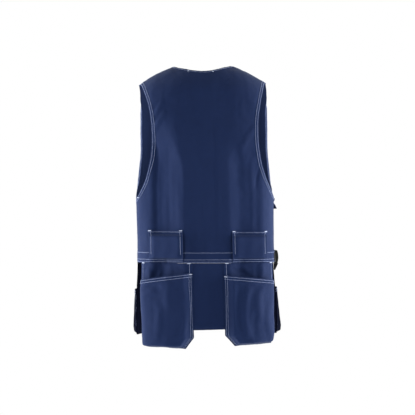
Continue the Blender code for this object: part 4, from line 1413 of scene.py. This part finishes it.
def make_belt_loop(loop):
    foot = WAIST_LOW + LOOP_ABOVE_SEAM
    heights = np.linspace(foot, loop.top, round((loop.top - foot) / LOOP_STEP))[:, None]
    offsets = np.linspace(-LOOP_HALF, LOOP_HALF, round(2 * LOOP_HALF / LOOP_STEP))[None, :]
    x, face = loop_face(loop, heights, offsets)
    sewn_down = seated(loop.turn * np.degrees(turn_at(x, heights)), heights, LOOP_SEAT)
    sewn_down.drape()
    free_share = ease((heights - foot - LOOP_SEWN) / LOOP_RISE)
    free_share = free_share * ease((loop.top - heights - LOOP_SEWN) / LOOP_RISE)
    form = sewn_down.form.reshape(face.shape)
    cloth = Cloth(blend(sewn_down.outer.reshape(face.shape), face, free_share[..., None]), form)
    inner, outer, low, top = cloth.edges()
    cloth.rub([inner, outer, top], *LOOP_WEAR)
    cloth.hang()
    needle = Needle(cloth)
    needle.seam(top, [LOOP_TOP_STITCH])
    needle.seam(low, WAIST_LOW_STITCHES)
    for edge in (inner, outer):
        needle.seam(edge[LOOP_STITCH_SHORT:-1], [LOOP_SIDE_STITCH])
        needle.tack_across(edge, -1, 0.0, LOOP_TACK)
    sewn = needle.made(loop.name)
    cloth.sheet(loop.name, [inner, outer, low, top], sewn, ["waistband", "back_panel"])


def make_belt_loops():
    for loop in BELT_LOOPS:
        make_belt_loop(loop)


def make_chest_pocket():
    row, column = close_ends(CHEST_ROWS)[:, None], close_ends(CHEST_COLUMNS)[None, :]
    rise = ease((np.minimum(column, 1 - column) - CHEST_FLANGE) / CHEST_WALL)
    rise = rise * ease((row - CHEST_FLANGE) / CHEST_WALL) * blend(1.0, CHEST_MOUTH_SHARE, row)
    angles = -blend(CHEST_OUTER, CHEST_INNER, column)
    cloth = seated(angles, blend(CHEST_FOOT, CHEST_TOP, row), CHEST_SEAT + TWILL + CHEST_DEPTH * rise)
    sew_chest(cloth, "chest_pocket", POCKET_STITCHES, POCKET_STITCHES[:1])
    make_chest_flap()


def make_chest_flap():
    heights = np.linspace(FLAP_ROWS[0].height, FLAP_ROWS[-1].height, FLAP_GRID_ROWS)[:, None]
    column = np.linspace(-FLAP_EXTRA, 1 + FLAP_EXTRA, CHEST_COLUMNS)[None, :]
    flare = curve(FLAP_ROWS, "flare", heights) * (1 - ease(column / FLARE_WIDTH))
    angles = -blend(CHEST_OUTER, CHEST_INNER, column)
    cloth = seated(angles, heights, curve(FLAP_ROWS, "lift", heights) + flare)
    sew_chest(cloth, "chest_flap", POCKET_STITCHES[:1], POCKET_STITCHES[:1])


def sew_chest(cloth, name, stitches, top_stitches):
    """Sews the chest pocket or its flap, with these lines along its top and along its other edges."""
    cloth.drape()
    edges = cloth.edges()
    cloth.hem(edges, *CHEST_HEM)
    cloth.hang()
    needle = Needle(cloth)
    for edge in edges[:3]:
        needle.seam(edge, stitches)
    needle.seam(edges[3], top_stitches)
    cloth.sheet(f"{name}_right", edges, needle.made(name), ["front_panel_right"])


def make_hanger_loop():
    share = np.linspace(-1, 1, HANGER_COLUMNS)[None, :]
    x = HANGER_HALF * share
    top = top_climb(x, 1) - HANGER_BELOW_EDGE - HANGER_SAG * (1 - share**2)
    climb = blend(top - HANGER_TAPE, top, np.linspace(0, 1, HANGER_ROWS)[:, None])
    away = TWILL + HANGER_SEAT + HANGER_SLACK * (1 - share**4)
    lean = np.maximum(0.0, climb - (crest(x) - SHOULDER_ROLL - WAIST_TOP)) / SHOULDER_ROLL
    normal = stack(0.0, np.cos(lean), np.sin(lean))
    form = torso(x, 1, climb)
    cloth = Cloth(form - normal * away[..., None], form)
    cloth.drape()
    cloth.hang()
    cloth.strap("hanger_loop_tape", "hanger_loop", "navy_twill")


def make_front_zip():
    heights = np.linspace(WAIST_LOW, V_BOTTOM - ZIP_GAP, ZIP_ROWS)[:, None]
    x = np.linspace(-ZIP_HALF, ZIP_HALF, ZIP_COLUMNS)[None, :]
    cloth = Cloth(stack(x, -curve(SECTIONS, "front", heights) - ZIP_LIFT, heights))
    cloth.drape()
    cloth.hang()
    cloth.strap("front_zip_tape", "front_zip", "zip_tape", ZIP_CLOTH)
    make_zip_teeth(cloth.outer[cloth.ids[:, ZIP_COLUMNS // 2]])


def make_zip_teeth(middle):
    """Teeth from both sides of the tape, which meet along its middle, as one joined mesh."""
    bpy.ops.object.select_all(action="DESELECT")
    bpy.ops.mesh.primitive_cube_add(size=1)
    bpy.ops.object.mode_set(mode="EDIT")
    bpy.ops.mesh.select_all(action="SELECT")
    bpy.ops.transform.resize(value=(ZIP_TOOTH_REACH, ZIP_TOOTH_RISE, ZIP_TOOTH_HEIGHT))
    bpy.ops.mesh.bevel(offset=ZIP_TOOTH_HEIGHT * ZIP_TOOTH_BEVEL, segments=1)
    bpy.ops.object.mode_set(mode="OBJECT")
    tooth, faces = taken_apart(bpy.context.object)
    aside, out = ZIP_TOOTH_REACH * ZIP_TOOTH_ASIDE, -ZIP_TOOTH_RISE * ZIP_TOOTH_ASIDE
    places, _ = walk(middle, ZIP_TOOTH_PITCH)
    copies = [tooth + place + ((-1) ** index * aside, out, 0.0) for index, place in enumerate(places)]
    joined("front_zip_teeth", copies, faces, finishes()["metal"])


def make_side_strap():
    angles = np.linspace(-STRAP_BACK, -STRAP_FRONT, STRAP_COLUMNS)[None, :]
    heights = np.linspace(STRAP_MIDDLE - STRAP_HALF, STRAP_MIDDLE + STRAP_HALF, STRAP_ROWS)
    cloth = seated(angles, heights[:, None], STRAP_LIFT)
    cloth.drape()
    cloth.hang()
    cloth.strap("side_strap_right_webbing", "side_strap_right", "webbing")
    inner = -(curve(SECTIONS, "half_width", STRAP_MIDDLE) + STRAP_LIFT + SEAM)
    make_strap_end(inner - BUCKLE_THICK / 2 - WEBBING / 2)
    make_buckle(inner)


def make_strap_end(middle):
    """The end of the strap that hangs out of the buckle, twisted where it leaves it."""
    share = np.linspace(0, 1, STRAP_END_ROWS)[:, None]
    across = np.linspace(-STRAP_END_HALF, STRAP_END_HALF, STRAP_END_COLUMNS)[None, :]
    twist = STRAP_END_TWIST * share
    x = middle - STRAP_END_BACK + STRAP_END_LEAN * (1 - share) - across * np.sin(twist)
    heights = blend(STRAP_END_LOW, STRAP_MIDDLE - BUCKLE_HALF_HEIGHT - SEAM, share)
    end = Cloth(stack(x, BUCKLE_Y + across * np.cos(twist), heights))
    end.hang()
    end.strap("side_strap_end_webbing", "side_strap_end_right", "webbing")


def select_faces(mesh_object, chosen):
    """Selects the faces of the object being edited whose middles pass this test."""
    bpy.ops.mesh.select_all(action="DESELECT")
    shape = bmesh.from_edit_mesh(mesh_object.data)
    for face in shape.faces:
        face.select_set(bool(chosen(face.calc_center_median(), face.normal)))
    shape.select_flush_mode()
    bmesh.update_edit_mesh(mesh_object.data)


def make_buckle(inner):
    """The side strap's slide buckle: a bowed frame with a ribbed middle bar between two windows."""
    middle = float(hang(np.array([inner, BUCKLE_Y, STRAP_MIDDLE]))[2])
    bpy.ops.object.select_all(action="DESELECT")
    bpy.ops.mesh.primitive_cube_add(size=1)
    buckle = bpy.context.object
    buckle.name = "side_buckle_frame"
    bpy.ops.object.mode_set(mode="EDIT")
    bpy.ops.mesh.select_mode(type="FACE")
    bpy.ops.mesh.select_all(action="SELECT")
    size = (BUCKLE_THICK, 2 * BUCKLE_HALF_LENGTH, 2 * BUCKLE_HALF_HEIGHT)
    bpy.ops.transform.resize(value=size, center_override=(0, 0, 0))
    bpy.ops.transform.translate(value=(inner - BUCKLE_THICK / 2, BUCKLE_Y, middle))
    cuts = [(share * BUCKLE_HALF_LENGTH, 0, (0, 1, 0)) for share in BUCKLE_BARS]
    cuts += [(0, share * BUCKLE_HALF_HEIGHT, (0, 0, 1)) for share in BUCKLE_LEVELS]
    for across, up, normal in cuts:
        bpy.ops.mesh.select_all(action="SELECT")
        bpy.ops.mesh.bisect(plane_co=(inner, BUCKLE_Y + across, middle + up), plane_no=normal)

    def on_bar(centre, across, half):
        near = abs(centre.y - BUCKLE_Y - across * BUCKLE_HALF_LENGTH) < half * BUCKLE_HALF_LENGTH
        return near and abs(centre.z - middle) < BUCKLE_OPEN * BUCKLE_HALF_HEIGHT

    for window in (-BUCKLE_WINDOW, BUCKLE_WINDOW):
        select_faces(
            buckle,
            lambda centre, normal: abs(normal.x) > 0.5 and on_bar(centre, window, BUCKLE_WINDOW_HALF),
        )
        bpy.ops.mesh.bridge_edge_loops()
    for level, bow in BUCKLE_BOW:
        select_faces(buckle, lambda centre, normal: normal.x < -0.5 and abs(centre.z - middle) < level)
        bpy.ops.transform.translate(value=(-bow, 0, 0))
    select_faces(buckle, lambda centre, normal: normal.x < -0.5 and on_bar(centre, 0, BUCKLE_RIBS_HALF))
    bpy.ops.mesh.inset(thickness=BUCKLE_RIB, depth=0, use_individual=True)
    bpy.ops.mesh.extrude_region_move(TRANSFORM_OT_translate={"value": (BUCKLE_RIB, 0, 0)})
    bpy.ops.mesh.select_all(action="SELECT")
    bpy.ops.mesh.normals_make_consistent(inside=False)
    bpy.ops.object.mode_set(mode="OBJECT")
    rounding = buckle.modifiers.new("rounded edges", "BEVEL")
    rounding.width = BUCKLE_ROUNDING
    rounding.segments = 3
    rounding.angle_limit = math.radians(25)
    bpy.ops.object.modifier_apply(modifier=rounding.name)
    bpy.ops.object.shade_smooth_by_angle(angle=math.radians(SHARP_ANGLE))
    bpy.ops.object.transform_apply(location=True, rotation=True, scale=True)
    buckle.data.materials.clear()
    buckle.data.materials.append(finishes()["black_plastic"])
    stand_for(buckle, "side_buckle_right")


def make_camera(scene, azimuth):
    roll = math.radians(CAMERA_ROLL)
    towards = Vector((math.sin(azimuth), -math.cos(azimuth), 0.0))
    right, up = Vector((math.cos(azimuth), math.sin(azimuth), 0.0)), Vector((0.0, 0.0, 1.0))
    rolled_right = math.cos(roll) * right + math.sin(roll) * up
    rolled_up = math.cos(roll) * up - math.sin(roll) * right
    data = bpy.data.cameras.new("camera")
    data.lens = CAMERA_SENSOR * CAMERA_DISTANCE / CAMERA_VIEW_WIDTH
    data.sensor_width = CAMERA_SENSOR
    camera = bpy.data.objects.new("camera", data)
    turn = Matrix((rolled_right, rolled_up, towards)).transposed().to_4x4()
    camera.matrix_world = Matrix.Translation(Vector(CAMERA_TARGET) + CAMERA_DISTANCE * towards) @ turn
    scene.collection.objects.link(camera)
    scene.camera = camera


def make_softbox(scene, name, bearing, power):
    away = Vector((math.sin(bearing), -math.cos(bearing), 0.0))
    lamp = bpy.data.lights.new(name, "AREA")
    lamp.shape = "RECTANGLE"
    lamp.size, lamp.size_y = LIGHT_WIDTH, LIGHT_HEIGHT
    lamp.energy = power
    light = bpy.data.objects.new(name, lamp)
    light.location = Vector(LIGHT_CENTRE) + away * LIGHT_DISTANCE
    light.rotation_euler = away.to_track_quat("Z", "Y").to_euler()
    light.visible_camera = False
    scene.collection.objects.link(light)


def make_stage():
    scene = bpy.context.scene
    scene.view_settings.view_transform = "Standard"
    scene.view_settings.look = "None"
    world = bpy.data.worlds.new("white studio")
    world.use_nodes = True
    background = world.node_tree.nodes["Background"]
    background.inputs["Color"].default_value = (1.0, 1.0, 1.0, 1.0)
    background.inputs["Strength"].default_value = WORLD_STRENGTH
    scene.world = world
    azimuth = math.radians(CAMERA_AZIMUTH)
    make_camera(scene, azimuth)
    for name, turn, power in LIGHTS:
        make_softbox(scene, name, azimuth + math.radians(turn), power)
    bpy.ops.object.select_all(action="DESELECT")
    bpy.ops.mesh.primitive_circle_add(
        vertices=96, radius=FLOOR_RADIUS, fill_type="NGON", location=(0, 0, FLOOR_HEIGHT)
    )
    floor = bpy.context.object
    floor.name = "floor"
    bpy.ops.object.transform_apply(location=True, rotation=True, scale=True)
    floor.data.materials.append(paper(Finish("pale floor"), FLOOR_COLOUR))


def length(name, description, default):
    return FloatProperty(name=name, description=description, default=default, unit="LENGTH")


def colour(name, description, default):
    return FloatVectorProperty(name=name, description=description, default=default, subtype="COLOR")


class VestSizes(bpy.types.PropertyGroup):
    """Sizes of the stitching."""

    stitch_length: length("Stitch length", "Length of one stitch", 0.0031)
    stitch_gap: length("Stitch gap", "Gap between stitches", 0.0006)
    thread_thickness: length("Thread thickness", "Thickness of the thread", 0.0010)
    tack_width: length("Bartack width", "Width of a bartack", 0.0023)
    tack_pitch: length("Bartack pitch", "Distance between a bartack's stitches", 0.0008)


class VestColours(bpy.types.PropertyGroup):
    """Colours of the vest's cloth, thread and fittings."""

    navy: colour("Navy", "Twill of the body", (0.0040, 0.0116, 0.0462))
    # Painted shade: near-black navy that darkens the front holsters for the shade they hang in; the zip tape
    # has it as its own dark colour
    navy_dark_and_painted_shade: colour("Dark navy and painted shade", "Twill of the front holsters with painted shade, and of the zip tape", (0.0010, 0.0016, 0.0062))
    worn: colour("Worn navy", "Twill where it is rubbed", (0.030, 0.045, 0.110))
    thread: colour("Thread", "Topstitching", (0.22, 0.27, 0.43))
    bartack: colour("Bartack thread", "Thread of the bartacks", (0.50, 0.56, 0.72))
    webbing: colour("Webbing", "Side strap", (0.0040, 0.0045, 0.0060))
    plastic: colour("Plastic", "Buckle", (0.0045, 0.0050, 0.0042))
    metal: colour("Metal", "Zip", (0.32, 0.31, 0.30))


class Maker:
    """What every operator of the vest does: it runs its own make function."""

    def execute(self, context):
        self.make()
        return {"FINISHED"}


class VEST_OT_stage(Maker, bpy.types.Operator):
    """Puts up the floor, the lights and the camera."""

    bl_idname = "vest.stage"
    bl_label = "Stage"
    make = staticmethod(make_stage)


class VEST_OT_back(Maker, bpy.types.Operator):
    """Sews the back of the body."""

    bl_idname = "vest.back"
    bl_label = "Back"
    make = staticmethod(make_back)


class VEST_OT_fronts(Maker, bpy.types.Operator):
    """Sews the two fronts."""

    bl_idname = "vest.fronts"
    bl_label = "Fronts"
    make = staticmethod(make_fronts)


class VEST_OT_waistband(Maker, bpy.types.Operator):
    """Sews the waistband."""

    bl_idname = "vest.waistband"
    bl_label = "Waistband"
    make = staticmethod(make_waistband)


class VEST_OT_tail(Maker, bpy.types.Operator):
    """Sews the tail between the back pockets."""

    bl_idname = "vest.tail"
    bl_label = "Tail"
    make = staticmethod(make_tail)


class VEST_OT_holsters(Maker, bpy.types.Operator):
    """Sews the four holster pockets on their backings."""

    bl_idname = "vest.holsters"
    bl_label = "Holster pockets"
    make = staticmethod(make_holsters)


class VEST_OT_belt_loops(Maker, bpy.types.Operator):
    """Sews the two wide belt loops."""

    bl_idname = "vest.belt_loops"
    bl_label = "Belt loops"
    make = staticmethod(make_belt_loops)


class VEST_OT_chest_pocket(Maker, bpy.types.Operator):
    """Sews the chest pocket and its flap."""

    bl_idname = "vest.chest_pocket"
    bl_label = "Chest pocket"
    make = staticmethod(make_chest_pocket)


class VEST_OT_front_zip(Maker, bpy.types.Operator):
    """Makes the front zip."""

    bl_idname = "vest.front_zip"
    bl_label = "Front zip"
    make = staticmethod(make_front_zip)


class VEST_OT_side_strap(Maker, bpy.types.Operator):
    """Makes the side strap, its hanging end and its buckle."""

    bl_idname = "vest.side_strap"
    bl_label = "Side strap"
    make = staticmethod(make_side_strap)


class VEST_OT_hanger_loop(Maker, bpy.types.Operator):
    """Makes the hanger loop inside the neck."""

    bl_idname = "vest.hanger_loop"
    bl_label = "Hanger loop"
    make = staticmethod(make_hanger_loop)


STEPS = (
    VEST_OT_stage,
    VEST_OT_back,
    VEST_OT_fronts,
    VEST_OT_waistband,
    VEST_OT_tail,
    VEST_OT_holsters,
    VEST_OT_belt_loops,
    VEST_OT_chest_pocket,
    VEST_OT_front_zip,
    VEST_OT_side_strap,
    VEST_OT_hanger_loop,
)


class VEST_PT_pieces(bpy.types.Panel):
    """Lists the vest's pieces in the order in which they are made."""

    bl_label = "Utility work vest"
    bl_idname = "VEST_PT_pieces"
    bl_space_type = "VIEW_3D"
    bl_region_type = "UI"
    bl_category = "Vest"

    def draw(self, context):
        for step in STEPS:
            self.layout.operator(step.bl_idname)
        for group in (context.scene.vest_sizes, context.scene.vest_colours):
            for name in group.__annotations__:
                self.layout.prop(group, name)


CLASSES = (VestSizes, VestColours) + STEPS + (VEST_PT_pieces,)


def register():
    for entry in CLASSES:
        bpy.utils.register_class(entry)
    bpy.types.Scene.vest_sizes = PointerProperty(type=VestSizes)
    bpy.types.Scene.vest_colours = PointerProperty(type=VestColours)


def unregister():
    del bpy.types.Scene.vest_colours
    del bpy.types.Scene.vest_sizes
    for entry in reversed(CLASSES):
        bpy.utils.unregister_class(entry)


def main():
    register()
    for step in STEPS:
        group, name = step.bl_idname.split(".")
        getattr(getattr(bpy.ops, group), name)()


if __name__ == "__main__":
    main()
